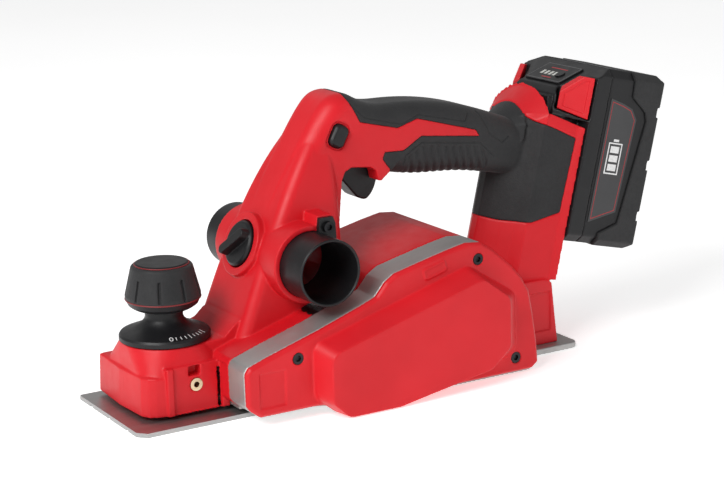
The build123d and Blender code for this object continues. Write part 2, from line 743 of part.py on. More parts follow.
def radial_bar(angle, inner, outer_r, low, high, start, length):
    """A bar in a blade slot, between two radii and two heights across the slot."""
    with BuildPart() as bar:
        with BuildSketch(blade_plane(angle).offset(start)):
            with Locations(((inner + outer_r) / 2, (low + high) / 2)):
                Rectangle(outer_r - inner, high - low)
        extrude(amount=length)
    return bar.part


drum_blank = side_disc(DRUM_X, DRUM_Z, 21.5, DRUM_HALF, -DRUM_HALF)
drum_blank += side_disc(DRUM_X, DRUM_Z, 3.95, 0.0, -72.4)
drum_blank += side_disc(DRUM_X, DRUM_Z, 2.95, 47.0, 0.0)
blade_set, clamp_set, clamp_screw_set = Part(), Part(), Part()
for angle in BLADE_ANGLES:
    drum_blank = drum_blank - radial_bar(angle, 11.0, 30.0, -0.6, 5.6, -1.0, 2 * DRUM_HALF + 2)
    blade_set += radial_bar(angle, 12.5, BLADE_R, -0.5, 0.6, 0.0, 2 * DRUM_HALF)
    clamp = radial_bar(angle, 11.1, 21.0, 0.65, 5.5, 0.6, 2 * DRUM_HALF - 1.2)
    for along in (12.0, 40.4, 68.8):
        mouth = blade_plane(angle).offset(along).from_local_coords((21.0, 3.1, 0))
        seat = Plane(origin=mouth, z_dir=blade_plane(angle).x_dir)
        clamp = clamp - extrude(seat.offset(-8.0) * Circle(1.7), amount=10.0)
        clamp_screw_set += extrude(seat.offset(-7.9) * Circle(1.6), amount=7.7)
    clamp_set += clamp

drum_pieces = {
    "cutter_drum": drum_blank,
    "planer_blades": blade_set,
    "blade_clamps": clamp_set,
    "clamp_screws": clamp_screw_set,
}
for name, piece in drum_pieces.items():
    with BuildPart() as drum_piece:
        add(piece)
    save(drum_piece, name)


def grooved_pulley(x, z, radius, bore):
    """A pulley with four belt grooves between two flanges."""
    wheel = side_disc(x, z, radius + 1.4, PULLEY_FAR, PULLEY_NEAR)
    for groove_far in (-59.0, -61.6, -64.2, -66.8):
        wall = side_disc(x, z, radius + 3.0, groove_far, groove_far - 2.0)
        wheel = wheel - (wall - side_disc(x, z, radius, 0.0, -80.0))
    return wheel - side_disc(x, z, bore, 0.0, -80.0)


with BuildPart() as drum_pulley:
    add(grooved_pulley(DRUM_X, DRUM_Z, DRUM_PULLEY_R - 1.4, 3.95))
save(drum_pulley, "drum_pulley")

with BuildPart() as motor_pulley:
    add(grooved_pulley(MOTOR_X, MOTOR_Z, MOTOR_PULLEY_R - 1.4, 3.95))
save(motor_pulley, "motor_pulley")

with BuildPart() as drive_belt:
    with BuildSketch(Plane.XZ.offset(59.0)):
        with Locations((DRUM_X, DRUM_Z)):
            Circle(DRUM_PULLEY_R + BELT_T)
        with Locations((MOTOR_X, MOTOR_Z)):
            Circle(MOTOR_PULLEY_R + BELT_T)
        make_hull()
    extrude(amount=10.0)
    with BuildSketch(Plane.XZ.offset(58.0)):
        with Locations((DRUM_X, DRUM_Z)):
            Circle(DRUM_PULLEY_R + 0.3)
        with Locations((MOTOR_X, MOTOR_Z)):
            Circle(MOTOR_PULLEY_R + 0.3)
        make_hull()
    extrude(amount=12.0, mode=Mode.SUBTRACT)
save(drive_belt, "drive_belt")


def bearing(x, z, outer_r, bore_r, far, near):
    """A ball bearing: two races and a ring of balls, as separate solids of one node."""
    middle = (outer_r + bore_r) / 2
    races = side_disc(x, z, outer_r, far, near) - side_disc(x, z, middle + 1.1, 90.0, -90.0)
    races += side_disc(x, z, middle - 1.1, far, near) - side_disc(x, z, bore_r, 90.0, -90.0)
    balls = Part()
    for k in range(8):
        turn = math.radians(45.0 * k)
        at = Pos(x + middle * math.cos(turn), (far + near) / 2, z + middle * math.sin(turn))
        balls += at * Sphere(1.05)
    return races + balls


drum_bearing_pair = [
    bearing(DRUM_X, DRUM_Z, NEAR_BEARING_R, 4.0, -42.0, -49.0),
    bearing(DRUM_X, DRUM_Z, FAR_BEARING_R, 3.0, 47.0, 41.0),
]
with BuildPart() as drum_bearings:
    add(drum_bearing_pair)
save(drum_bearings, "drum_bearings")

motor_bearing_pair = [
    bearing(MOTOR_X, MOTOR_Z, NEAR_BEARING_R, 4.0, -42.0, -49.0),
    bearing(MOTOR_X, MOTOR_Z, 8.0, 3.0, 31.6, 26.6),
]
with BuildPart() as motor_bearings:
    add(motor_bearing_pair)
save(motor_bearings, "motor_bearings")


# ---------------------------------------------------------------- motor
CAN_R = 30.0
with BuildPart() as motor_can:
    add(side_disc(MOTOR_X, MOTOR_Z, CAN_R, 32.6, -24.0))
    add(side_disc(MOTOR_X, MOTOR_Z, CAN_R - 2.0, 30.4, -24.0), mode=Mode.SUBTRACT)
    add(side_disc(MOTOR_X, MOTOR_Z, 10.0, 32.6, 26.6))
    add(side_disc(MOTOR_X, MOTOR_Z, 8.0, 31.6, 20.0), mode=Mode.SUBTRACT)
    add(side_disc(MOTOR_X, MOTOR_Z, 4.0, 40.0, 20.0), mode=Mode.SUBTRACT)
save(motor_can, "motor_can")

magnet_ring = side_disc(MOTOR_X, MOTOR_Z, CAN_R - 2.0, 12.0, -22.0)
magnet_ring -= side_disc(MOTOR_X, MOTOR_Z, 23.4, 20.0, -30.0)
magnet_gap = Pos(MOTOR_X, -5.0, MOTOR_Z) * Box(16.0, 60.0, 90.0)
with BuildPart() as motor_magnets:
    add(magnet_ring - magnet_gap)
save(motor_magnets, "motor_magnets")

armature_blank = side_disc(MOTOR_X, MOTOR_Z, 22.8, 10.0, -20.0)
for k in range(12):
    angle = 30.0 * k + 15.0
    turn = math.radians(angle)
    slot = Pos(MOTOR_X + 21.5 * math.cos(turn), -5.0, MOTOR_Z + 21.5 * math.sin(turn)) * Rot(0, -angle, 0)
    armature_blank = armature_blank - slot * Box(6.0, 40.0, 2.6)
armature_blank = armature_blank + side_disc(MOTOR_X, MOTOR_Z, 17.0, 14.0, -24.0)
armature_blank = armature_blank + side_disc(MOTOR_X, MOTOR_Z, 3.95, 14.0, -72.4)
armature_blank = armature_blank + side_disc(MOTOR_X, MOTOR_Z, 2.95, 31.0, 0.0)
with BuildPart() as armature:
    add(armature_blank)
save(armature, "armature")

commutator_blank = side_disc(MOTOR_X, MOTOR_Z, 9.0, 25.0, 14.4) - side_disc(MOTOR_X, MOTOR_Z, 2.95, 60.0, 0.0)
for k in range(12):
    turn = math.radians(30.0 * k)
    slit = Pos(MOTOR_X + 9.0 * math.cos(turn), 19.0, MOTOR_Z + 9.0 * math.sin(turn)) * Rot(0, -30.0 * k, 0)
    commutator_blank = commutator_blank - slit * Box(1.6, 20.0, 0.5)
with BuildPart() as commutator:
    add(commutator_blank)
save(commutator, "commutator")

fan_blank = side_disc(MOTOR_X, MOTOR_Z, 30.5, -37.0, -39.0) + side_disc(MOTOR_X, MOTOR_Z, 9.0, -27.0, -39.0)
for k in range(11):
    blade = Pos(MOTOR_X, -32.5, MOTOR_Z) * Rot(0, 360.0 * k / 11, 0) * Pos(19.0, 0, 3.0) * Box(22.0, 9.0, 1.4)
    fan_blank = fan_blank + blade
with BuildPart() as cooling_fan:
    add(fan_blank - side_disc(MOTOR_X, MOTOR_Z, 3.95, 0.0, -60.0))
save(cooling_fan, "cooling_fan")

brush_box = side_disc(MOTOR_X, MOTOR_Z, CAN_R - 2.0, 26.0, 24.0)
brush_box -= side_disc(MOTOR_X, MOTOR_Z, 10.2, 30.0, 20.0)
brush_pair = Part()
for side in (-1, 1):
    box = Pos(MOTOR_X + side * 17.0, 20.0, MOTOR_Z) * Box(13.0, 8.0, 9.0)
    box = box - Pos(MOTOR_X + side * 16.0, 20.0, MOTOR_Z) * Box(20.0, 5.2, 6.2)
    brush_box += box
    brush_pair += Pos(MOTOR_X + side * 14.5, 20.0, MOTOR_Z) * Box(9.6, 5.0, 6.0)
with BuildPart() as brush_holders:
    add(brush_box)
save(brush_holders, "brush_holders")
with BuildPart() as carbon_brushes:
    add(brush_pair - side_disc(MOTOR_X, MOTOR_Z, 9.1, 40.0, 0.0))
save(carbon_brushes, "carbon_brushes")


# ---------------------------------------------------------------- belt cover
with BuildPart() as cover_flange:
    with BuildSketch(Plane.XZ.offset(-BAND_NEAR)):
        with BuildLine():
            Polyline(*COVER_OUTLINE, close=True)
        make_face()
    extrude(amount=BAND_NEAR - FLANGE_NEAR)
    chamfer(cover_flange.faces().sort_by(Axis.Y)[0].edges(), 1.6)
with BuildPart() as cover_room:
    with BuildSketch(Plane.XZ.offset(-BAND_NEAR - 1.0)):
        with BuildLine():
            Polyline(*COVER_OUTLINE, close=True)
        make_face()
        offset(amount=-5.0, kind=Kind.INTERSECTION)
    extrude(amount=2.4)
cover = cover_flange.part + bump(0.0, FLANGE_NEAR + 1.0, COVER_FACE)
cover = cover - cover_room.part - bump(2.6, BAND_NEAR + 0.4, COVER_FACE + 2.6)
badge_plane = Plane(origin=(28.0, FLANGE_NEAR, 71.3), x_dir=(0.966, 0, 0.259), z_dir=(0, -1, 0))
badge = extrude(badge_plane * RectangleRounded(15.0, 6.4, 1.4), amount=0.7)
badge = badge - extrude(badge_plane.offset(0.3) * RectangleRounded(13.4, 4.8, 1.0), amount=1.0)
recess_plane = Plane(origin=(-76.0, FLANGE_NEAR, 21.0), x_dir=(1, 0, 0), z_dir=(0, -1, 0))
recess = extrude(recess_plane.offset(-0.8) * Rectangle(16.0, 20.0), amount=3.0)
cover = cover + badge - recess
for x, z in COVER_SCREWS:
    cover = cover + (side_disc(x, z, 5.6, BAND_NEAR, FLANGE_NEAR) & cover_flange.part)
    cover = cover - side_disc(x, z, 1.7, -50.0, -80.0) - side_disc(x, z, 3.4, FLANGE_NEAR + 2.3, -80.0)
with BuildPart() as belt_cover:
    add(cover)
save(belt_cover, "belt_cover")


def torx_screw(at, length, head_r, head_t, shank_r):
    """A pan screw seen along Y, its head outward at -Y, with a six-lobed socket."""
    x, y, z = at
    screw = side_disc(x, z, head_r, y + head_t, y) + side_disc(x, z, shank_r, y + length, y)
    for k in range(3):
        lobe = Pos(x, y + 0.5, z) * Rot(0, 60.0 * k, 0) * Box(head_r * 1.05, 1.6, head_r * 0.4)
        screw = screw - lobe
    return screw


cover_screw_set = [torx_screw((x, FLANGE_NEAR + 0.3, z), 14.0, 3.2, 2.0, 1.5) for x, z in COVER_SCREWS]
with BuildPart() as cover_screws:
    add(cover_screw_set)
save(cover_screws, "cover_screws")

housing_screw_set = []
for (x, z), head in HOUSING_SCREWS:
    upright = torx_screw((x, 0.0, -z), head - SCREW_TIP, SCREW_HEAD_R, SCREW_HEAD_T, SCREW_R)
    housing_screw_set.append(Pos(0, head, 0) * (Rot(180.0, 0, 0) * upright))
with BuildPart() as housing_screws:
    add(housing_screw_set)
save(housing_screws, "housing_screws")

with BuildPart() as plate_screws:
    for x, y in PLATE_SCREWS:
        with Locations((x, y, 1.2)):
            Cone(4.0, 2.0, 2.0)
        with Locations((x, y, 8.4)):
            Cylinder(2.0, 13.0)
        with Locations((x, y, 0.6)):
            Cylinder(1.4, 1.4, mode=Mode.SUBTRACT)
save(plate_screws, "plate_screws")

drum_cap_ring = side_disc(DRUM_X, DRUM_Z, 33.0, 49.4, 41.0) - side_disc(DRUM_X, DRUM_Z, 30.8, 47.3, 40.0)
above_rebate = [(-70.0, REBATE_HEIGHT), (20.0, REBATE_HEIGHT), (20.0, 70.0), (-70.0, 70.0)]
above_rebate = side_slab(above_rebate, 60.0, 40.0)
with BuildPart() as drum_end_cover:
    add(drum_cap_ring & above_rebate)
    edge = drum_end_cover.faces().sort_by(Axis.Y)[-1].edges()
    chamfer(edge, 1.2)
save(drum_end_cover, "drum_end_cover")


# ---------------------------------------------------------------- dust ports and chip selector
PORTS = {"dust_port_left": (-61.7, NEAR_SEAT), "dust_port_right": (51.3, FAR_SEAT)}
TAB_T = 2.4
PORT_INNER_END = 21.5
PORT_SCREW = (-27.0, 99.6)
TAB_OUTLINE = [
    (-38.0, 94.0),
    (-33.5, 94.0),
    (-32.0, 105.0),
    (-23.5, 105.0),
    (-22.0, 101.0),
    (-21.5, 88.0),
    (-38.0, 88.0),
]

for name, (mouth, seat) in PORTS.items():
    side = math.copysign(1.0, seat)
    inner_end = side * PORT_INNER_END
    tab_face = seat + side * TAB_T
    tube = side_disc(DUCT_X, DUCT_Z, DUCT_OUTER_R, max(mouth, inner_end), min(mouth, inner_end))
    tab = side_slab(TAB_OUTLINE, max(seat, tab_face), min(seat, tab_face))
    with BuildPart() as dust_port:
        add(tube + tab)
        add(side_disc(DUCT_X, DUCT_Z, DUCT_INNER_R, 80.0, -80.0), mode=Mode.SUBTRACT)
        add(side_disc(*PORT_SCREW, 1.7, 80.0, -80.0), mode=Mode.SUBTRACT)
        rims = dust_port.edges().filter_by(GeomType.CIRCLE)
        chamfer(rims.filter_by_position(Axis.Y, mouth - 0.01, mouth + 0.01), 0.5)
    save(dust_port, name)

SCREW_HEAD_FACE = TAB_T + 2.0
near_port_screw = torx_screw((PORT_SCREW[0], NEAR_SEAT - SCREW_HEAD_FACE, PORT_SCREW[1]), 4.4, 3.2, 2.0, 1.6)
far_port_screw = torx_screw((PORT_SCREW[0], -FAR_SEAT - SCREW_HEAD_FACE, -PORT_SCREW[1]), 4.4, 3.2, 2.0, 1.6)
with BuildPart() as port_screws:
    add(near_port_screw)
    add(Rot(180.0, 0, 0) * far_port_screw)
save(port_screws, "port_screws")

KNOB_TURN = 40.0
with BuildPart() as selector_knob:
    with BuildSketch(selector_plane(-2.8)):
        Circle(13.2)
    extrude(amount=5.4)
    chamfer(selector_knob.faces().sort_by(Axis.X)[0].edges(), 1.2)
    with BuildSketch(selector_plane(2.0)) as grip_bar:
        with Locations(Location((0, 0, 0), KNOB_TURN)):
            SlotOverall(25.0, 6.6)
    extrude(amount=5.2, taper=6.0)
    with BuildSketch(selector_plane(-2.8)):
        Circle(3.0)
    extrude(amount=-5.6)
save(selector_knob, "selector_knob")

FLAP_CENTRE = 23.6
flap_up = selector_plane(0).y_dir
flap_across = Vector(0, 1, 0)
flap_normal = flap_up * math.cos(math.radians(45.0)) + flap_across * math.sin(math.radians(45.0))
flap_plane = Plane(origin=SELECTOR_AT - SELECTOR_DIR * FLAP_CENTRE - flap_normal * 0.9, z_dir=flap_normal)
with BuildPart() as chip_deflector:
    with BuildSketch(flap_plane):
        Circle(15.0)
    extrude(amount=1.8)
    with BuildSketch(selector_plane(-8.4)):
        Circle(3.0)
    extrude(amount=-6.0)
save(chip_deflector, "chip_deflector")


# ---------------------------------------------------------------- trigger, lock-off button, switch
with BuildPart() as trigger:
    with BuildSketch(Plane.XZ):
        with BuildLine():
            Polyline((4.0, 128.0), (2.8, 121.0), (2.8, 115.6), (7.7, 109.8), (11.8, 105.1))
            Spline((11.8, 105.1), (14.7, 103.5), (18.4, 103.0), (20.3, 104.3), (23.4, 108.4), (25.2, 113.4))
            Polyline((25.2, 113.4), (25.8, 120.0), (25.8, 129.5), (14.8, 131.4), (5.8, 131.4), (4.0, 128.0))
        make_face()
    extrude(amount=TRIGGER_HALF, both=True)
    finger_edges = trigger.edges().filter_by(lambda e: e.center().Z < 115.0 and abs(e.center().Y) > 7.0)
    fillet(finger_edges, 1.2)
    add(side_disc(*PIVOT, PIN_R + RUNNING, 20.0, -20.0), mode=Mode.SUBTRACT)
save(trigger, "trigger")

with BuildPart() as trigger_pin:
    add(side_disc(*PIVOT, PIN_R, PIN_HALF, -PIN_HALF))
save(trigger_pin, "trigger_pin")

SWITCH_OUTLINE = [(8.8, 136.5), (8.8, 149.0), (40.8, 147.0), (40.8, 132.5), (28.8, 132.5), (28.8, 136.5)]
with BuildPart() as trigger_switch:
    add(side_slab(SWITCH_OUTLINE, 12.5, -12.5))
    with Locations((20.8, 0, 135.7)):
        Cylinder(2.2, 1.8)
save(trigger_switch, "trigger_switch")

with BuildPart() as trigger_spring:
    add(coil(2.0, 0.35, 3.9, 3, Plane(origin=(13.3, 0, 132.0))))
save(trigger_spring, "trigger_spring")

BUTTON_REACH = 21.6
button_blank = button_bar(9.6, 13.0, 3.3, BUTTON_REACH, -BUTTON_REACH)
with BuildPart() as lock_off_button:
    add(button_blank)
    ends = lock_off_button.faces().sort_by(Axis.Y)
    chamfer(ends[0].edges() + ends[-1].edges(), 1.4)
save(lock_off_button, "lock_off_button")


# ---------------------------------------------------------------- electronics and battery terminals
with BuildPart() as control_board:
    add(tilted_prism(mirrored([(86.6, -8.0), (88.2, -8.0)]), 88.0, 112.0))
    for along, half in ((92.0, 6.0), (100.0, 7.5), (107.0, 5.0)):
        add(tilted_prism(mirrored([(88.2, -half), (91.6, -half)]), along, along + 4.5))
save(control_board, "control_board")

with BuildPart() as terminal_block:
    add(tilted_prism(mirrored([(88.5, -9.0), (92.0, -13.6), (97.2, -13.6)]), 118.0, 146.0))
save(terminal_block, "terminal_block")

TERMINAL_ROWS = (-10.0, 0.0, 10.0)
with BuildPart() as terminal_blades:
    for y in TERMINAL_ROWS:
        contact = [(97.2, y - 0.4), (106.0, y - 0.4), (106.0, y + 0.4), (97.2, y + 0.4)]
        add(tilted_prism(contact, 120.0, 142.0))
save(terminal_blades, "terminal_blades")


# ---------------------------------------------------------------- battery
PACK_LOW, PACK_HIGH = 96.0, 201.4
SHOULDER = 118.5
SEAM = 129.5
PACK_BACK = 166.5
BUMPER_BACK = 171.5
NOSE_LOW = 168.4
SLIDE_HALF = 27.0
PACK_CORNER = 5.0


def end_profile(grow):
    """The battery as seen from behind, its four corners cut off, as a bar along its depth."""
    with BuildPart() as bar:
        with BuildSketch(arch_plane(90.0)) as profile:
            with Locations((0, (PACK_LOW + PACK_HIGH) / 2)):
                Rectangle(2 * (BATTERY_HALF + grow), PACK_HIGH - PACK_LOW + 2 * grow)
            chamfer(profile.vertices(), PACK_CORNER)
        extrude(amount=90.0)
    return bar.part


upper_half = [(101.9, -22.0), (118.8, -BATTERY_HALF), (SEAM, -BATTERY_HALF)]
nose = tilted_prism(mirrored(upper_half), NOSE_LOW, PACK_HIGH)
nose_cut = [
    across(90.0, 176.0),
    across(101.9, 181.0),
    across(104.4, 185.2),
    across(126.9, 199.6),
    across(SEAM, PACK_HIGH),
    across(SEAM, 210.0),
    across(90.0, 210.0),
]
shoulder = tilted_prism(mirrored([(SHOULDER, -BATTERY_HALF), (SEAM, -BATTERY_HALF)]), PACK_LOW, NOSE_LOW)
slide = tilted_prism(mirrored([(98.2, -SLIDE_HALF), (SHOULDER, -SLIDE_HALF)]), 112.0, NOSE_LOW)
slide_head = tilted_prism(mirrored([(98.6, -20.0), (SHOULDER, -20.0)]), 160.0, 179.4)
grooves = tilted_prism([(105.0, -40.0), (105.0, -24.1), (110.0, -24.1), (110.0, -40.0)], 100.0, 164.0)
grooves += tilted_prism([(105.0, 40.0), (105.0, 24.1), (110.0, 24.1), (110.0, 40.0)], 100.0, 164.0)
front_shell = (nose - side_slab(nose_cut, 50.0, -50.0) + shoulder) & end_profile(0.0)
front_shell = front_shell + slide + slide_head - grooves
# The room for the cells steps back under the slanted face.
cell_half, room_back, room_step = 34.8, PACK_BACK - 2.0, 190.0
cell_room = tilted_prism(mirrored([(120.5, -cell_half), (room_back, -cell_half)]), PACK_LOW + 3.2, room_step)
room_head = mirrored([(126.9, -cell_half), (room_back, -cell_half)])
cell_room += tilted_prism(room_head, room_step, PACK_HIGH - 4.0)
cell_room = cell_room & end_profile(-3.2)
front_shell = front_shell - cell_room
for y in TERMINAL_ROWS:
    slot = [(90.0, y - 1.2), (107.5, y - 1.2), (107.5, y + 1.2), (90.0, y + 1.2)]
    front_shell = front_shell - tilted_prism(slot, 100.0, 146.0)


def latch_prism(grow, low, high):
    """The wedge of a release latch on the slanted flank of the battery's nose, at -Y."""
    flank = [
        (103.3 - grow, -24.0 - grow),
        (117.4 + grow, -37.2 - grow),
        (118.4 + grow, -33.2 + grow),
        (106.2 - grow, -21.2 + grow),
    ]
    return tilted_prism(flank, low - grow, high + grow)


def latch_foot(gap):
    """What lies under the latch's slanted lower edge, less a gap."""
    low = [across(98.0, 174.7 - gap), across(122.0, 168.5 - gap), across(122.0, 155.0), across(98.0, 155.0)]
    return side_slab(low, 50.0, -50.0)


LATCH_LOW, LATCH_HIGH = 168.0, 194.2
latch_head = [
    across(95.0, 177.0),
    across(101.0, 179.8),
    across(104.2, 184.2),
    across(112.6, 194.2),
    across(112.6, 205.0),
    across(95.0, 205.0),
]
latch_blank = latch_prism(0.0, LATCH_LOW, LATCH_HIGH) - side_slab(latch_head, 50.0, -50.0) - latch_foot(0.0)
# The room leaves 2 mm for the latch to be pressed in.
latch_travel = [
    (102.85, -24.45),
    (117.85, -38.6),
    (119.0, -38.6),
    (119.0, -30.4),
    (106.6, -18.3),
    (104.4, -19.2),
    (102.85, -21.2),
]
latch_room = latch_prism(0.45, LATCH_LOW, LATCH_HIGH)
latch_room += tilted_prism(latch_travel, LATCH_LOW, LATCH_HIGH + 0.45)
latch_room = latch_room - latch_foot(0.45)
front_shell = front_shell - latch_room - mirror(latch_room, Plane.XZ)

with BuildPart() as battery_front_shell:
    add(front_shell)
save(battery_front_shell, "battery_front_shell")

with BuildPart() as battery_latch_left:
    add(latch_blank)
save(battery_latch_left, "battery_latch_left")
with BuildPart() as battery_latch_right:
    add(mirror(latch_blank, Plane.XZ))
save(battery_latch_right, "battery_latch_right")

BUMPER_SIDE = [
    across(146.0, 208.0),
    across(147.2, 187.1),
    across(158.4, 179.3),
    across(160.8, 173.8),
    across(153.6, 110.6),
    across(140.6, 103.5),
    across(140.6, 88.0),
    across(176.0, 88.0),
    across(176.0, 208.0),
]
bumper_region = side_slab(BUMPER_SIDE, 50.0, -50.0)
back_blank = tilted_prism(mirrored([(SEAM, -BATTERY_HALF), (PACK_BACK, -BATTERY_HALF)]), PACK_LOW, PACK_HIGH)
core_half = mirrored([(SEAM, -36.4), (PACK_BACK - 0.5, -36.4)])
back_core = tilted_prism(core_half, PACK_LOW + 1.6, PACK_HIGH - 1.6) & end_profile(-1.6)
back_shell = ((back_blank & end_profile(0.0)) - bumper_region) + back_core - cell_room
with BuildPart() as battery_back_shell:
    add(back_shell)
save(battery_back_shell, "battery_back_shell")

BUMPER_HALF, BUMPER_LOW, BUMPER_HIGH = 39.4, PACK_LOW - 0.6, PACK_HIGH + 0.4
NOTCH_LOWS, NOTCH_HEIGHT, NOTCH_DEPTH = (113.2, 144.6, 177.0), 6.0, 4.4
bumper_half = [(136.0, -BUMPER_HALF), (BUMPER_BACK - 3.4, -BUMPER_HALF), (BUMPER_BACK, -35.6)]
bumper_blank = tilted_prism(mirrored(bumper_half), BUMPER_LOW, BUMPER_HIGH) & end_profile(1.4)
bumper_back = [
    across(130.0, BUMPER_LOW),
    across(BUMPER_BACK - 7.0, BUMPER_LOW),
    across(BUMPER_BACK - 1.6, BUMPER_LOW + 4.0),
    across(BUMPER_BACK, BUMPER_LOW + 8.0),
    across(BUMPER_BACK, BUMPER_HIGH - 9.0),
    across(BUMPER_BACK - 1.6, BUMPER_HIGH - 4.6),
    across(BUMPER_BACK - 7.0, BUMPER_HIGH),
    across(130.0, BUMPER_HIGH),
]
bumper = (bumper_blank & bumper_region & side_slab(bumper_back, 50.0, -50.0)) - back_core
for low in NOTCH_LOWS:
    notch = mirrored([(BUMPER_BACK - NOTCH_DEPTH, -60.0), (180.0, -60.0)])
    bumper = bumper - tilted_prism(notch, low, low + NOTCH_HEIGHT)
bumper = bumper - tilted_prism(mirrored([(PACK_BACK - 0.5, -19.0), (180.0, -19.0)]), 106.0, 190.0)
with BuildPart() as battery_bumper:
    add(bumper)
save(battery_bumper, "battery_bumper")

CELL_R = 9.1
with BuildPart() as battery_cells:
    for column_v in (135.0, 153.8):
        for row in range(5):
            x, z = across(column_v, 111.5 + 18.6 * row)
            add(side_disc(x, z, CELL_R, 32.4, -32.4))
save(battery_cells, "battery_cells")

LABEL = [
    across(131.5, 184.3),
    across(141.6, 182.2),
    across(148.4, 180.0),
    across(153.0, 173.8),
    across(150.6, 117.2),
    across(131.3, 109.4),
]
with BuildPart() as battery_labels:
    add(side_slab(LABEL, -BATTERY_HALF, -BATTERY_HALF - 0.4))
    add(side_slab(LABEL, BATTERY_HALF + 0.4, BATTERY_HALF))
save(battery_labels, "battery_labels")

# The gauge plate lies on the nose's slanted face.
GAUGE_FOOT, GAUGE_HEAD = (105.6, 185.97), (125.0, 198.38)
gauge_dir = (Vector(*across(*GAUGE_HEAD)) - Vector(*across(*GAUGE_FOOT))).normalized()
gauge_x = Vector(gauge_dir.X, 0, gauge_dir.Y)
gauge_middle = across((GAUGE_FOOT[0] + GAUGE_HEAD[0]) / 2, (GAUGE_FOOT[1] + GAUGE_HEAD[1]) / 2)
gauge_normal = Vector(0, 1, 0).cross(gauge_x) * -1
gauge_plane = Plane(origin=(gauge_middle[0], 0, gauge_middle[1]), x_dir=gauge_x, z_dir=gauge_normal)
GAUGE_LIGHTS = (-3.0, 1.0, 5.0, 9.0)
BUTTON_Y = -8.0
with BuildPart() as gauge_plate:
    with BuildSketch(gauge_plane.offset(0.05)):
        RectangleRounded(20.5, 34.8, 2.0)
    extrude(amount=1.0)
    with BuildSketch(gauge_plane.offset(0.05)):
        with Locations((-1.5, BUTTON_Y)):
            Circle(3.3)
        with Locations(*[(-1.5, y) for y in GAUGE_LIGHTS]):
            Rectangle(4.2, 2.4)
    extrude(amount=2.0, mode=Mode.SUBTRACT)
save(gauge_plate, "gauge_plate")

with BuildPart() as gauge_lights:
    with BuildSketch(gauge_plane.offset(0.06)):
        with Locations(*[(-1.5, y) for y in GAUGE_LIGHTS]):
            Rectangle(4.1, 2.3)
    extrude(amount=1.1)
save(gauge_lights, "gauge_lights")

with BuildPart() as gauge_button:
    with BuildSketch(gauge_plane.offset(0.6)):
        with Locations((-1.5, BUTTON_Y)):
            Circle(3.0)
    extrude(amount=1.2)
save(gauge_button, "gauge_button")


# ---------------------------------------------------------------- parking foot
FOOT_AXIS = (139.0, 7.6)
foot_side = [
    (134.5, 5.0),
    (142.6, 5.0),
    (142.6, 8.0),
    (141.0, 10.4),
    (137.0, 10.8),
    (112.0, 9.6),
    (108.0, 7.2),
    (108.0, 5.0),
]
with BuildPart() as parking_foot:
    add(side_slab(foot_side, 40.6, 35.4))
    add(side_disc(*FOOT_AXIS, 1.5 + RUNNING, 60.0, 0.0), mode=Mode.SUBTRACT)
save(parking_foot, "parking_foot")

with BuildPart() as parking_foot_pin:
    add(side_disc(*FOOT_AXIS, 1.5, 41.0, 30.6))
save(parking_foot_pin, "parking_foot_pin")
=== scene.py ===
"""Looks of the battery hand planer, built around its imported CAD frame.

Everything is in metres in the CAD frame: +X to the battery, -Y to the belt cover, +Z up.
"""

import json
import math

import bmesh
import bpy
import numpy as np
from mathutils import Euler, Matrix, Vector


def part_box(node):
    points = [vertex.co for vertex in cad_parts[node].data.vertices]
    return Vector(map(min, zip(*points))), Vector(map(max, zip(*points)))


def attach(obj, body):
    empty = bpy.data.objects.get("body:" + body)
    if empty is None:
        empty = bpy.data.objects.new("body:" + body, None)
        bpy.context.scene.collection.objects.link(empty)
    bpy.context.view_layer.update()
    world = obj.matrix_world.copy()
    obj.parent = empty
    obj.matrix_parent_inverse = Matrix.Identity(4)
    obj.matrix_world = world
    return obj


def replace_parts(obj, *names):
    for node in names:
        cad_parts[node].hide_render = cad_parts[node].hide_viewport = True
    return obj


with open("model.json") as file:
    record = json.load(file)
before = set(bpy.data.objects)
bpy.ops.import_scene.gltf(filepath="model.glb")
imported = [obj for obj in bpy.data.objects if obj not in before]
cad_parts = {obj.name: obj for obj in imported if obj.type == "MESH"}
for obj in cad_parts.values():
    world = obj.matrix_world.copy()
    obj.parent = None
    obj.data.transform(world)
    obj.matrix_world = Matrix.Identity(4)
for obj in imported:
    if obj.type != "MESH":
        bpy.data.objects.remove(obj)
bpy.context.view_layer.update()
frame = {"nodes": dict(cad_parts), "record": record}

MM = 0.001
NEAR, FAR = -1, 1
WELD_WITHIN, ON_SEAM = 0.01 * MM, 0.05 * MM
SEAM_RUN_ON = 4.0 * MM
# No main edge of the tool runs nearly along a voxel axis once it is turned like this.
SKEW = Euler((0.62, 0.48, 0.70)).to_matrix().to_4x4()
BODY_OF = {node: body for body, nodes in frame["record"]["behaviour"]["bodies"].items() for node in nodes}
SLOT_OF = {part["node"]: part["material_slot"] for part in frame["record"]["subparts"]}
MATERIALS = {}


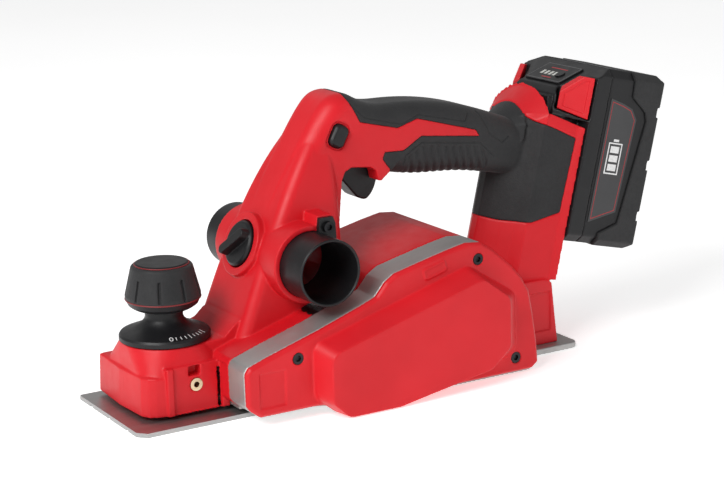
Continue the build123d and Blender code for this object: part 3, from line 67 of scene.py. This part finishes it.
# ---------------------------------------------------------------- node materials
class Shader:
    """A Principled material and short calls for the nodes that feed it."""

    def __init__(self, name, **constants):
        self.material = bpy.data.materials.new(name)
        self.material.use_nodes = True
        self.nodes = self.material.node_tree.nodes
        self.links = self.material.node_tree.links
        self.principled = self.nodes["Principled BSDF"]
        self.place = self.nodes.new("ShaderNodeTexCoord").outputs["Object"]
        for socket, value in constants.items():
            self.principled.inputs[socket.replace("_", " ")].default_value = value

    def stretched(self, scale):
        """The object's own coordinates, scaled along each axis."""
        mapping = self.nodes.new("ShaderNodeMapping")
        mapping.inputs["Scale"].default_value = scale
        self.links.new(self.place, mapping.inputs["Vector"])
        return mapping.outputs["Vector"]

    def noise(self, scale, detail=3.0, place=None):
        """Soft noise, from 0 to 1."""
        node = self.nodes.new("ShaderNodeTexNoise")
        node.inputs["Scale"].default_value = scale
        node.inputs["Detail"].default_value = detail
        self.links.new(place or self.place, node.inputs["Vector"])
        return node.outputs["Fac"]

    def cells(self, scale):
        """The distance to the nearest of many scattered points, for pebbles and spots."""
        node = self.nodes.new("ShaderNodeTexVoronoi")
        node.inputs["Scale"].default_value = scale
        self.links.new(self.place, node.inputs["Vector"])
        return node.outputs["Distance"]

    def spread(self, factor, low, high, start=0.3, end=0.7):
        """A factor stretched from start and end to low and high."""
        node = self.nodes.new("ShaderNodeMapRange")
        for socket, value in (("From Min", start), ("From Max", end), ("To Min", low), ("To Max", high)):
            node.inputs[socket].default_value = value
        self.links.new(factor, node.inputs["Value"])
        return node.outputs["Result"]

    def between(self, factor, first, second):
        """A colour from first to second by a factor."""
        node = self.nodes.new("ShaderNodeMix")
        node.data_type = "RGBA"
        node.inputs["A"].default_value = (*first, 1.0)
        node.inputs["B"].default_value = (*second, 1.0)
        self.links.new(factor, node.inputs["Factor"])
        return node.outputs["Result"]

    def bump(self, height, distance):
        node = self.nodes.new("ShaderNodeBump")
        node.inputs["Strength"].default_value = 1.0
        node.inputs["Distance"].default_value = distance
        self.links.new(height, node.inputs["Height"])
        self.links.new(node.outputs["Normal"], self.principled.inputs["Normal"])

    def feed(self, socket, value):
        self.links.new(value, self.principled.inputs[socket])


def moulded(name, dark, light, rough, grain, depth, **constants):
    """Injection-moulded plastic: slight colour drift, a fine spark-eroded grain and uneven gloss."""
    shader = Shader(name, **constants)
    shader.feed("Base Color", shader.between(shader.spread(shader.noise(22.0), 0.0, 1.0), dark, light))
    shader.feed("Roughness", shader.spread(shader.noise(140.0, 5.0), rough - 0.04, rough + 0.06))
    shader.bump(shader.noise(grain, 2.0), depth)
    return shader.material


def soft_rubber(name, dark, light, rough, grain, depth):
    """Matt overmould with a small pebbled grain and a dusty sheen."""
    shader = Shader(name, Sheen_Weight=0.06, Sheen_Roughness=0.6, Specular_IOR_Level=0.35)
    shader.feed("Base Color", shader.between(shader.spread(shader.noise(60.0, 4.0), 0.0, 1.0), dark, light))
    shader.feed("Roughness", shader.spread(shader.noise(500.0), rough - 0.06, rough + 0.06))
    shader.bump(shader.cells(grain), depth)
    return shader.material


def cast_metal(name, dark, light, rough, metallic=0.75):
    """Blasted casting: a fine even grain with faint clouds."""
    shader = Shader(name, Metallic=metallic)
    shader.feed("Base Color", shader.between(shader.spread(shader.noise(35.0, 4.0), 0.0, 1.0), dark, light))
    shader.feed("Roughness", shader.spread(shader.noise(260.0, 4.0), rough - 0.05, rough + 0.07))
    shader.bump(shader.noise(2200.0, 2.0), 0.00004)
    return shader.material


def ground_metal(name, dark, light, rough, scale=(30.0, 2600.0, 900.0)):
    """Machined metal with long fine cutting lines along X."""
    shader = Shader(name, Metallic=0.95)
    lines = shader.noise(1.0, 3.0, shader.stretched(scale))
    shader.feed("Base Color", shader.between(shader.spread(lines, 0.0, 1.0), dark, light))
    shader.feed("Roughness", shader.spread(lines, rough - 0.08, rough + 0.1))
    shader.bump(lines, 0.00001)
    return shader.material


def printed(name, colour, rough=0.45):
    """Pad-printed ink, a little uneven in gloss and tone."""
    shader = Shader(name)
    faded = tuple(0.82 * part for part in colour)
    shader.feed("Base Color", shader.between(shader.spread(shader.noise(900.0), 0.0, 1.0), faded, colour))
    shader.feed("Roughness", shader.spread(shader.noise(700.0), rough - 0.05, rough + 0.08))
    return shader.material


def board_lacquer(name):
    """Green lacquer over fine copper tracks."""
    shader = Shader(name, Coat_Weight=0.5)
    tracks = shader.spread(shader.cells(420.0), 0.0, 1.0, 0.28, 0.32)
    shader.feed("Base Color", shader.between(tracks, (0.010, 0.090, 0.035), (0.020, 0.160, 0.060)))
    shader.feed("Roughness", shader.spread(shader.noise(300.0), 0.25, 0.4))
    return shader.material


def grey(low, high):
    """A dark and a light neutral colour."""
    return (low, low, low), (high, high, high)


def make_plastics():
    """Moulded plastics, rubbers and the battery's wraps."""
    red_dark, red_light = (0.57, 0.007, 0.013), (0.66, 0.011, 0.019)
    black_dark, black_light = (0.005, 0.005, 0.006), (0.009, 0.009, 0.010)
    grip_dark, grip_light = (0.011, 0.011, 0.012), (0.017, 0.017, 0.018)
    label_dark, label_light = (0.030, 0.030, 0.032), (0.040, 0.040, 0.042)
    wrap_dark, wrap_light = (0.02, 0.07, 0.17), (0.03, 0.10, 0.24)
    ring_dark, ring_light = (0.16, 0.010, 0.012), (0.22, 0.014, 0.016)
    red_gloss = {"Specular_IOR_Level": 0.3}
    black_gloss = {"Specular_IOR_Level": 0.35}
    MATERIALS.update(
        red_plastic=moulded("red_plastic", red_dark, red_light, 0.42, 1500.0, 0.00003, **red_gloss),
        black_plastic=moulded("black_plastic", black_dark, black_light, 0.42, 1700.0, 0.00003, **black_gloss),
        black_rubber=soft_rubber("black_rubber", grip_dark, grip_light, 0.62, 1300.0, 0.00006),
        belt_rubber=soft_rubber("belt_rubber", *grey(0.014, 0.025), 0.8, 1500.0, 0.00006),
        cell_wrap=moulded("cell_wrap", wrap_dark, wrap_light, 0.25, 300.0, 0.00002),
        label=moulded("label", label_dark, label_light, 0.42, 1200.0, 0.00001),
        knob_red=moulded("knob_red", ring_dark, ring_light, 0.4, 1200.0, 0.00002),
    )


def make_metals():
    """Castings, machined and drawn metals, magnets and carbon."""
    sheet_edges = (30.0, 2600.0, 30.0)
    MATERIALS.update(
        cast_aluminium=cast_metal("cast_aluminium", (0.42, 0.42, 0.41), (0.50, 0.50, 0.49), 0.50),
        drum_aluminium=ground_metal("drum_aluminium", (0.42, 0.43, 0.44), (0.56, 0.57, 0.58), 0.34),
        carbide_steel=ground_metal("carbide_steel", (0.50, 0.51, 0.53), (0.66, 0.67, 0.69), 0.22),
        dark_steel=cast_metal("dark_steel", (0.020, 0.020, 0.022), (0.045, 0.045, 0.048), 0.38, 0.9),
        bright_steel=ground_metal("bright_steel", (0.46, 0.47, 0.49), (0.62, 0.63, 0.65), 0.26),
        magnet=cast_metal("magnet", (0.05, 0.05, 0.055), (0.09, 0.09, 0.095), 0.6, 0.5),
        laminated_steel=ground_metal(
            "laminated_steel", (0.18, 0.17, 0.17), (0.36, 0.35, 0.34), 0.42, sheet_edges
        ),
        copper=ground_metal("copper", (0.55, 0.25, 0.14), (0.75, 0.38, 0.22), 0.3),
        brass=ground_metal("brass", (0.62, 0.50, 0.30), (0.80, 0.70, 0.48), 0.28),
        carbon=cast_metal("carbon", *grey(0.02, 0.04), 0.7, 0.2),
        sole_metal=ground_metal("sole_metal", (0.34, 0.34, 0.34), (0.47, 0.47, 0.46), 0.42),
    )


def make_inks():
    """Prints, the gauge's light covers and the circuit board."""
    MATERIALS.update(
        board=board_lacquer("board"),
        light=printed("light", (0.62, 0.62, 0.58), 0.3),
        ink_white=printed("ink_white", (0.80, 0.80, 0.80)),
        ink_red=printed("ink_red", (0.42, 0.012, 0.018)),
        ink_grey=printed("ink_grey", (0.16, 0.16, 0.165)),
    )


# ---------------------------------------------------------------- mesh helpers
def mesh_of(name, bm):
    """The finished mesh of a bmesh, with its faces turned outwards."""
    bmesh.ops.recalc_face_normals(bm, faces=bm.faces)
    mesh = bpy.data.meshes.new(name)
    bm.to_mesh(mesh)
    bm.free()
    return mesh


def new_piece(name, mesh, node, material=None):
    """Links a mesh as a piece on the body of a CAD node, with its own material or that of the node's slot."""
    piece = bpy.data.objects.new(name, mesh)
    bpy.context.scene.collection.objects.link(piece)
    mesh.materials.clear()
    mesh.materials.append(MATERIALS[material or SLOT_OF[node]])
    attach(piece, BODY_OF[node])
    return piece


def applied(piece):
    """The piece's mesh with all of its modifiers applied."""
    bpy.context.view_layer.update()
    graph = bpy.context.evaluated_depsgraph_get()
    return bpy.data.meshes.new_from_object(piece.evaluated_get(graph), depsgraph=graph)


def softened(node, voxel_mm, passes, share, halved):
    """A copy of a CAD node's shape with its edges rounded as a mould would leave them.

    Share is how many of the triangles stay, and halved says that the node ends at the parting plane.
    """
    work = bpy.data.objects.new("work", frame["nodes"][node].data.copy())
    bpy.context.scene.collection.objects.link(work)
    side = run_past_seam(work.data) if halved else 0.0
    work.data.transform(SKEW)
    weld = work.modifiers.new("weld", "WELD")
    weld.merge_threshold = WELD_WITHIN
    remesh = work.modifiers.new("remesh", "REMESH")
    remesh.mode = "VOXEL"
    remesh.voxel_size = voxel_mm * MM * 1.0
    smooth = work.modifiers.new("smooth", "SMOOTH")
    smooth.factor = 0.5
    smooth.iterations = passes
    if share < 1.0:
        thin = work.modifiers.new("thin", "DECIMATE")
        thin.ratio = share
    mesh = applied(work)
    bpy.data.objects.remove(work)
    mesh.transform(SKEW.inverted())
    if halved:
        cut_at_seam(mesh, side)
    mesh.shade_smooth()
    return mesh


def run_past_seam(mesh):
    """Carries a housing half's wall a little way past the parting plane y = 0."""
    bm = bmesh.new()
    bm.from_mesh(mesh)
    bmesh.ops.remove_doubles(bm, verts=bm.verts, dist=WELD_WITHIN)
    seam = [face for face in bm.faces if all(abs(corner.co.y) < ON_SEAM for corner in face.verts)]
    side = 1.0 if sum(face.normal.y * face.calc_area() for face in seam) > 0 else -1.0
    grown = bmesh.ops.extrude_face_region(bm, geom=seam)["geom"]
    corners = [part for part in grown if isinstance(part, bmesh.types.BMVert)]
    bmesh.ops.translate(bm, verts=corners, vec=Vector((0.0, side * SEAM_RUN_ON, 0.0)))
    bmesh.ops.delete(bm, geom=seam, context="FACES_ONLY")
    bm.to_mesh(mesh)
    bm.free()
    return side


def cut_at_seam(mesh, side):
    """Cuts a housing half off square at the parting plane."""
    bm = bmesh.new()
    bm.from_mesh(mesh)
    parts = bm.verts[:] + bm.edges[:] + bm.faces[:]
    outwards = Vector((0.0, side, 0.0))
    cut = bmesh.ops.bisect_plane(bm, geom=parts, plane_co=Vector(), plane_no=outwards, clear_outer=True)
    rim = [part for part in cut["geom_cut"] if isinstance(part, bmesh.types.BMEdge)]
    for edge in rim:
        edge.smooth = False
    bmesh.ops.triangle_fill(bm, use_beauty=True, edges=rim, normal=outwards)
    bm.to_mesh(mesh)
    bm.free()


def vertex_arrays(mesh):
    """Vertex places and normals as arrays."""
    count = len(mesh.vertices)
    places = np.zeros(count * 3)
    normals = np.zeros(count * 3)
    mesh.vertices.foreach_get("co", places)
    mesh.vertices.foreach_get("normal", normals)
    return places.reshape(-1, 3), normals.reshape(-1, 3)


def carve(mesh, depth_at):
    """Moves each vertex inwards by depth_at(places, normals), in metres."""
    places, normals = vertex_arrays(mesh)
    places = places - normals * depth_at(places, normals)[:, None]
    mesh.vertices.foreach_set("co", places.ravel())
    mesh.update()


def line_distance(points, line, closed=False):
    """The distance from each 2-D point to a polyline."""
    corners = [np.array(corner) for corner in line]
    if closed:
        corners.append(corners[0])
    best = np.full(len(points), 1e9)
    for start, end in zip(corners, corners[1:]):
        along = end - start
        t = np.clip(((points - start) @ along) / (along @ along), 0.0, 1.0)
        best = np.minimum(best, np.linalg.norm(points - start - t[:, None] * along, axis=1))
    return best


def inside(points, outline):
    """Whether each 2-D point is inside a closed outline."""
    hit = np.zeros(len(points), bool)
    for (x0, z0), (x1, z1) in zip(outline, outline[1:] + outline[:1]):
        crosses = (points[:, 1] < z0) != (points[:, 1] < z1)
        with np.errstate(divide="ignore", invalid="ignore"):
            at = x0 + (points[:, 1] - z0) * (x1 - x0) / (z1 - z0)
        hit ^= crosses & (points[:, 0] < at)
    return hit


def groove(distance, width, depth):
    """The depth of a round-edged groove at a distance from its middle line."""
    t = np.clip(1.0 - distance / (width / 2), 0.0, 1.0)
    return depth * t * t * (3.0 - 2.0 * t)


def ring(name, centre, radius, wire, node, material):
    """A thin torus round a vertical axis, on the body of a CAD node."""
    bm = bmesh.new()
    steps, sides = 96, 10
    rows = []
    for i in range(steps):
        turn = 2 * math.pi * i / steps
        row = []
        for j in range(sides):
            tip = 2 * math.pi * j / sides
            reach = radius + wire * math.cos(tip)
            row.append(bm.verts.new((reach * math.cos(turn), reach * math.sin(turn), wire * math.sin(tip))))
        rows.append(row)
    for i in range(steps):
        for j in range(sides):
            ahead, beside = (i + 1) % steps, (j + 1) % sides
            bm.faces.new((rows[i][j], rows[ahead][j], rows[ahead][beside], rows[i][beside]))
    mesh = mesh_of(name, bm)
    mesh.transform(Matrix.Translation(centre))
    mesh.shade_smooth()
    return new_piece(name, mesh, node, material)


# ---------------------------------------------------------------- CAD nodes that keep their shape
def finish_cad_nodes():
    """Gives every CAD node the material of its slot."""
    for node, piece in frame["nodes"].items():
        piece.data.materials.clear()
        piece.data.materials.append(MATERIALS[SLOT_OF[node]])
    frame["nodes"]["front_shoe"].data.materials[0] = MATERIALS["sole_metal"]


def soft_copy(node, voxel_mm, passes, share, depth_at=None, halved=False):
    """Replaces a CAD node by its copy with rounded edges, carved by depth_at."""
    mesh = softened(node, voxel_mm, passes, share, halved)
    if depth_at:
        carve(mesh, depth_at)
    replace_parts(new_piece(node + "_shell", mesh, node), node)


# ---------------------------------------------------------------- handle grips
GRIP_LINES = [
    [(3.2, 160.6), (11.6, 152.7), (35.8, 146.2), (47.5, 150.5), (78.9, 142.9), (82.1, 147.0)],
    [(89.3, 147.2), (95.5, 134.3), (105.0, 127.3), (109.5, 130.4)],
    [(37.0, 122.6), (38.1, 127.8), (48.9, 134.0), (89.4, 128.9), (98.9, 120.0)],
]
RIB_REGION = [(38.5, 127.2), (49.2, 133.0), (89.0, 127.8), (97.6, 119.6), (92.0, 107.6), (38.0, 107.6)]
LINE_WIDTH, LINE_DEPTH = 1.1, 0.55
RIB_PITCH, RIB_DEPTH, RIB_FADE = 5.0, 0.95, 1.6
RIB_LEAN, RIB_BOW, RIB_LEVEL = 0.28, 0.012, 120.0
MIDDLE_STRIP = 5.0


def grip_depth(places, normals):
    """Depth of the grips' engraved lines and of the leaning, slightly bowed finger ribs."""
    side = places[:, [0, 2]] / MM
    depth = np.zeros(len(side))
    facing = np.clip(np.abs(normals[:, 1]) * 4.0, 0.0, 1.0)
    for line in GRIP_LINES:
        depth = np.maximum(depth, facing * groove(line_distance(side, line), LINE_WIDTH, LINE_DEPTH))
    edge = line_distance(side, RIB_REGION, closed=True)
    share = np.where(inside(side, RIB_REGION), np.clip(edge / RIB_FADE, 0.0, 1.0), 0.0)
    outward = places[:, 1] * normals[:, 1] > -1e-9
    above = side[:, 1] - RIB_LEVEL
    phase = (side[:, 0] + RIB_LEAN * above - RIB_BOW * above**2) / RIB_PITCH
    wave = 0.5 - 0.5 * np.cos(2 * math.pi * phase)
    skin = np.abs(places[:, 1]) / MM > MIDDLE_STRIP
    return MM * np.maximum(depth, np.where(outward & skin, share * RIB_DEPTH * wave**1.5, 0.0))


# ---------------------------------------------------------------- carved details
TILT = math.radians(13.4)
OUTWARD = Vector((math.cos(TILT), 0.0, -math.sin(TILT)))
UPWARD = Vector((math.sin(TILT), 0.0, math.cos(TILT)))
BUTTON_AT, BUTTON_TURN, BUTTON_HALVES = (-6.0, 144.2), math.radians(62.0), (6.6, 4.9)
BUTTON_CORNER, DISH_WIDTH, DISH_DEPTH = 3.0, 2.0, 1.1
THUMB_RIM, THUMB_SLOPE, THUMB_DEPTH = 2.0, 0.5, 0.6
LATCH_FACE = [(103.3, 173.3), (117.4, 169.7), (117.4, 194.2), (112.6, 194.2), (104.2, 184.2), (103.3, 182.9)]


def tilted_view(places):
    """Places in the battery's own frame: millimetres outward and upward."""
    return places @ np.array([OUTWARD, UPWARD]).T / MM


def housing_depth(places, normals):
    """Depth of the dished rim round the lock-off button."""
    across = places[:, [0, 2]] / MM - np.array(BUTTON_AT)
    cos, sin = math.cos(BUTTON_TURN), math.sin(BUTTON_TURN)
    local = np.abs(across @ np.array([[cos, -sin], [sin, cos]]))
    past = np.maximum(local - np.array(BUTTON_HALVES) + BUTTON_CORNER, 0.0)
    gap = np.hypot(past[:, 0], past[:, 1]) - BUTTON_CORNER
    facing = np.clip(np.abs(normals[:, 1]) * 2.0 - 0.6, 0.0, 1.0)
    dish = np.clip(1.0 - gap / DISH_WIDTH, 0.0, 1.0)
    return MM * facing * DISH_DEPTH * dish * dish * (3.0 - 2.0 * dish)


def latch_depth(places, normals):
    """Depth of the three-cornered thumb recess in a battery latch."""
    view = tilted_view(places)
    edge = line_distance(view, LATCH_FACE, closed=True)
    outward = (np.abs(normals[:, 1]) > 0.4) & (normals @ np.array(OUTWARD) < -0.2)
    floor = np.clip((edge - THUMB_RIM) / THUMB_SLOPE, 0.0, 1.0)
    return MM * THUMB_DEPTH * np.where(inside(view, LATCH_FACE) & outward, floor, 0.0)


# ---------------------------------------------------------------- printed and inlaid details
INK_T, THICK_INK_T = 0.05 * MM, 0.06 * MM
SUNK = 0.02 * MM
FLUSH = 0.00002


def prism(name, outline, place, node, material, hole=None, height=INK_T):
    """A thin plate of a flat outline, less a hole of as many corners, on a place's XY plane."""
    bm = bmesh.new()
    levels = (0.0, height)
    low, high = [[bm.verts.new((x, y, z)) for x, y in outline] for z in levels]
    hole_low, hole_high = [[bm.verts.new((x, y, z)) for x, y in hole or []] for z in levels]
    count = len(outline)
    for i in range(count):
        ahead = (i + 1) % count
        bm.faces.new((low[i], low[ahead], high[ahead], high[i]))
        if hole:
            bm.faces.new((hole_low[ahead], hole_low[i], hole_high[i], hole_high[ahead]))
            bm.faces.new((high[i], high[ahead], hole_high[ahead], hole_high[i]))
            bm.faces.new((low[ahead], low[i], hole_low[i], hole_low[ahead]))
    if not hole:
        bm.faces.new(high)
        bm.faces.new(low[::-1])
    mesh = mesh_of(name, bm)
    mesh.transform(place)
    return new_piece(name, mesh, node, material)


def inset(outline, width):
    """A closed convex outline moved inwards by a width."""
    corners = [Vector(corner) for corner in outline]
    middle = sum(corners, Vector((0.0, 0.0))) / len(corners)
    moved = []
    for i, corner in enumerate(corners):
        normals = []
        for edge in (corner - corners[i - 1], corners[(i + 1) % len(corners)] - corner):
            normal = Vector((-edge.y, edge.x)).normalized()
            normals.append(normal if normal.dot(middle - corner) > 0 else -normal)
        bisector = (normals[0] + normals[1]).normalized()
        moved.append(tuple(corner + bisector * (width / bisector.dot(normals[0]))))
    return moved


def oval(half_wide, half_high, steps=28):
    """The outline of an upright oval, from millimetres."""
    turns = [2 * math.pi * i / steps for i in range(steps)]
    return [(half_wide * MM * math.cos(turn), half_high * MM * math.sin(turn)) for turn in turns]


def bar(half_wide, half_high, right=0.0, up=0.0):
    """The outline of a rectangle, from millimetres."""
    signs = ((-1, -1), (1, -1), (1, 1), (-1, 1))
    return [((right + x * half_wide) * MM, (up + y * half_high) * MM) for x, y in signs]


def placed(right, up, out, origin):
    """The matrix of a local frame from its three axes and its origin."""
    place = Matrix((right, up, out)).transposed().to_4x4()
    place.translation = origin
    return place


DIAL_INNER, DIAL_OUTER = Vector((20.0, 46.6)), Vector((24.6, 44.8))
ZERO_AT, MARK_STEP, MARKS, LONG_EVERY = math.radians(-106.0), math.radians(7.2), 8, 4
ZERO_HALVES, ZERO_HOLE = (1.15, 1.75), (0.65, 1.2)
TICK_HALF, LONG_TICK, SHORT_TICK, MARK_SUNK = 0.22, 1.8, 1.2, 0.03 * MM
KNOB_RINGS = {
    "knob_lower_ring": ("depth_knob_grip", 63.9, 20.75, 0.42),
    "knob_upper_ring": ("depth_knob_cap", 83.1, 15.0, 0.36),
}


def knob_axis():
    low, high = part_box("depth_dial")
    return Vector(((low[0] + high[0]) / 2, (low[1] + high[1]) / 2, 0.0))


def mark_dial():
    """A zero and eight ticks, inlaid on the sloping rim of the depth dial."""
    slope = (DIAL_OUTER - DIAL_INNER).normalized()
    middle = (DIAL_INNER + DIAL_OUTER) / 2 * MM
    for i in range(MARKS + 1):
        turn = ZERO_AT + i * MARK_STEP
        out = Vector((math.cos(turn), math.sin(turn), 0.0))
        down = out * slope.x + Vector((0.0, 0.0, slope.y))
        aside = Vector((-math.sin(turn), math.cos(turn), 0.0))
        normal = aside.cross(-down)
        origin = knob_axis() + out * middle.x + Vector((0.0, 0.0, middle.y)) - normal * MARK_SUNK
        place = placed(aside, -down, normal, origin)
        half_long = SHORT_TICK if i % LONG_EVERY else LONG_TICK
        outline, hole = (bar(TICK_HALF, half_long), None) if i else (oval(*ZERO_HALVES), oval(*ZERO_HOLE))
        prism(f"dial_mark_{i}", outline, place, "depth_dial", "ink_white", hole, THICK_INK_T)


def ring_knob():
    """The dark red lines at the foot and the top of the knob's grip."""
    for name, (node, level, radius, wire) in KNOB_RINGS.items():
        centre = knob_axis() + Vector((0.0, 0.0, level * MM))
        ring(name, centre, radius * MM, wire * MM, node, "knob_red")


def flank_outline(node, side):
    """The corners of a convex plate's outer face, seen along Y, in order round its middle."""
    low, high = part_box(node)
    level = low[1] if side == NEAR else high[1]
    places = [vertex.co for vertex in frame["nodes"][node].data.vertices]
    corners = {(round(place.x, 6), round(place.z, 6)) for place in places if abs(place.y - level) < FLUSH}
    middle_x = sum(x for x, z in corners) / len(corners)
    middle_z = sum(z for x, z in corners) / len(corners)
    return sorted(corners, key=lambda corner: math.atan2(corner[1] - middle_z, corner[0] - middle_x)), level


SIGN_AT, SIGN_OUTER, SIGN_INNER = (141.0, 149.0), (5.2, 9.5), (4.4, 8.7)
TERMINAL_HALVES, TERMINAL_UP = (2.0, 0.7), 10.9
CHARGE_HALVES, CHARGE_UPS = (3.2, 2.0), (-5.4, 0.0, 5.4)
LABEL_EDGE, LABEL_LINE = 1.3 * MM, 0.4 * MM
GAUGE_FOOT, GAUGE_HEAD = (105.6, 185.97), (125.0, 198.38)
GAUGE_FACE, GAUGE_HALVES, GAUGE_LINE = 1.03 * MM, (9.2, 16.3), 0.35 * MM
DASH_HALF, GAUGE_DASHES = 0.45, ((4.6, 8.0), (-6.4, 4.5))


def tilted(v, u):
    """A place on the middle plane, from the battery's own frame in millimetres."""
    return (OUTWARD * v + UPWARD * u) * MM


def print_battery_sign(name, side, level):
    """A plain battery sign: an outline, its terminal and three charge bars."""
    origin = tilted(*SIGN_AT) + Vector((0.0, level - side * SUNK, 0.0))
    place = placed(OUTWARD, UPWARD, Vector((0.0, side, 0.0)), origin)
    shapes = [(bar(*SIGN_OUTER), bar(*SIGN_INNER)), (bar(*TERMINAL_HALVES, up=TERMINAL_UP), None)]
    shapes += [(bar(*CHARGE_HALVES, up=up), None) for up in CHARGE_UPS]
    for i, (outline, hole) in enumerate(shapes):
        prism(f"battery_sign_{name}_{i}", outline, place, "battery_labels", "ink_white", hole, THICK_INK_T)


def print_labels():
    """A thin red line inside each battery label's edge and a plain battery sign on it."""
    for side, name in ((NEAR, "near"), (FAR, "far")):
        outline, level = flank_outline("battery_labels", side)
        place = Matrix(((1, 0, 0, 0), (0, 0, side, level - side * SUNK), (0, 1, 0, 0), (0, 0, 0, 1)))
        line = inset(outline, LABEL_EDGE)
        prism(f"label_line_{name}", line, place, "battery_labels", "ink_red", inset(line, LABEL_LINE))
        print_battery_sign(name, side, level)


def print_gauge():
    """A thin grey line round the charge gauge and a red dash on either side of its lights."""
    across = Vector((0.0, 1.0, 0.0))
    along = (tilted(*GAUGE_HEAD) - tilted(*GAUGE_FOOT)).normalized()
    normal = along.cross(across)
    origin = (tilted(*GAUGE_FOOT) + tilted(*GAUGE_HEAD)) / 2 + normal * GAUGE_FACE
    place = placed(along, across, normal, origin)
    line = bar(*GAUGE_HALVES)
    prism("gauge_line", line, place, "gauge_plate", "ink_grey", inset(line, GAUGE_LINE))
    for i, (right, half) in enumerate(GAUGE_DASHES):
        prism(f"gauge_dash_{i}", bar(DASH_HALF, half, right), place, "gauge_plate", "ink_red")


# ---------------------------------------------------------------- camera, light and floor
AZIMUTH, ELEVATION, ROLL = math.radians(-30.54), math.radians(14.31), math.radians(-1.346)
CAMERA_AT = Vector((-0.545976, -0.957196, 0.355733))
LENS_MM, SENSOR_MM = 98.19, 36.0


def make_camera():
    """A long lens at the tool's left front, a little above it and slightly rolled."""
    level = Vector((math.cos(AZIMUTH), math.sin(AZIMUTH), 0.0))
    outward = Vector((math.sin(AZIMUTH), -math.cos(AZIMUTH), 0.0))
    back = outward * math.cos(ELEVATION) + Vector((0.0, 0.0, math.sin(ELEVATION)))
    upright = back.cross(level)
    right = level * math.cos(ROLL) + upright * math.sin(ROLL)
    up = upright * math.cos(ROLL) - level * math.sin(ROLL)
    data = bpy.data.cameras.new("camera")
    data.lens = LENS_MM
    data.sensor_width = SENSOR_MM
    data.sensor_fit = "HORIZONTAL"
    data.clip_start = 0.05
    camera = bpy.data.objects.new("camera", data)
    bpy.context.scene.collection.objects.link(camera)
    camera.matrix_world = placed(right, up, back, CAMERA_AT)
    bpy.context.scene.camera = camera


def area_light(name, at, target, size, power):
    """A soft rectangular light that faces a target."""
    data = bpy.data.lights.new(name, "AREA")
    data.shape = "RECTANGLE"
    data.size, data.size_y = size
    data.energy = power
    light = bpy.data.objects.new(name, data)
    bpy.context.scene.collection.objects.link(light)
    aim = Vector(target) - Vector(at)
    turn = aim.to_track_quat("-Z", "Y").to_matrix().to_4x4()
    light.matrix_world = Matrix.Translation(Vector(at)) @ turn


def make_floor(reach=12.0):
    """A wide white paper floor that glows a little, so that it stays pale under soft light."""
    mesh = bpy.data.meshes.new("floor")
    corners = [(-reach, -reach, 0), (reach, -reach, 0), (reach, reach, 0), (-reach, reach, 0)]
    mesh.from_pydata(corners, [], [(0, 1, 2, 3)])
    floor = bpy.data.objects.new("floor", mesh)
    bpy.context.scene.collection.objects.link(floor)
    shader = Shader("floor", Roughness=0.75, Emission_Color=(1.0, 1.0, 1.0, 1.0), Emission_Strength=0.52)
    clouds = shader.spread(shader.noise(3.0), 0.0, 1.0)
    shader.feed("Base Color", shader.between(clouds, *grey(0.91, 0.94)))
    mesh.materials.append(shader.material)


def make_lights():
    """An even white world, a key light from the left front, and weaker fill and back lights."""
    world = bpy.data.worlds.new("studio")
    world.use_nodes = True
    background = world.node_tree.nodes["Background"]
    background.inputs["Color"].default_value = (1.0, 1.0, 1.0, 1.0)
    background.inputs["Strength"].default_value = 0.37
    bpy.context.scene.world = world
    area_light("key", (-1.05, -0.50, 1.0), (0.0, 0.0, 0.07), (0.8, 0.6), 16.0)
    area_light("fill", (1.1, -1.0, 0.7), (0.05, 0.0, 0.08), (0.9, 0.9), 2.2)
    area_light("back", (0.3, 1.2, 0.9), (0.0, 0.0, 0.1), (1.0, 0.6), 0.7)
    bpy.context.scene.view_settings.view_transform = "Standard"
    bpy.context.scene.view_settings.look = "None"


# ---------------------------------------------------------------- the whole tool
# Each node's voxel in millimetres, its smoothing passes and the share of triangles that stay.
SOFT_NODES = {
    "belt_cover": (0.55, 3, 0.5),
    "base_frame": (0.7, 2, 0.5),
    "depth_knob_grip": (0.4, 3, 0.6),
    "selector_knob": (0.35, 3, 0.6),
    "trigger": (0.35, 3, 0.6),
    "lock_off_button": (0.4, 3, 0.6),
    "battery_front_shell": (0.65, 3, 0.5),
    "battery_back_shell": (0.65, 3, 0.5),
    "battery_bumper": (0.5, 4, 0.5),
}

make_plastics()
make_metals()
make_inks()
finish_cad_nodes()
make_camera()
make_floor()
make_lights()

for housing in ("left_housing", "right_housing"):
    soft_copy(housing, 0.46, 12, 0.25, housing_depth, halved=True)
for overmould in ("left_grip_overmould", "right_grip_overmould"):
    soft_copy(overmould, 0.5, 4, 1.0, grip_depth, halved=True)
for soft_node, settings in SOFT_NODES.items():
    soft_copy(soft_node, *settings)
for latch in ("battery_latch_left", "battery_latch_right"):
    soft_copy(latch, 0.35, 3, 1.0, latch_depth)

mark_dial()
ring_knob()
print_labels()
print_gauge()
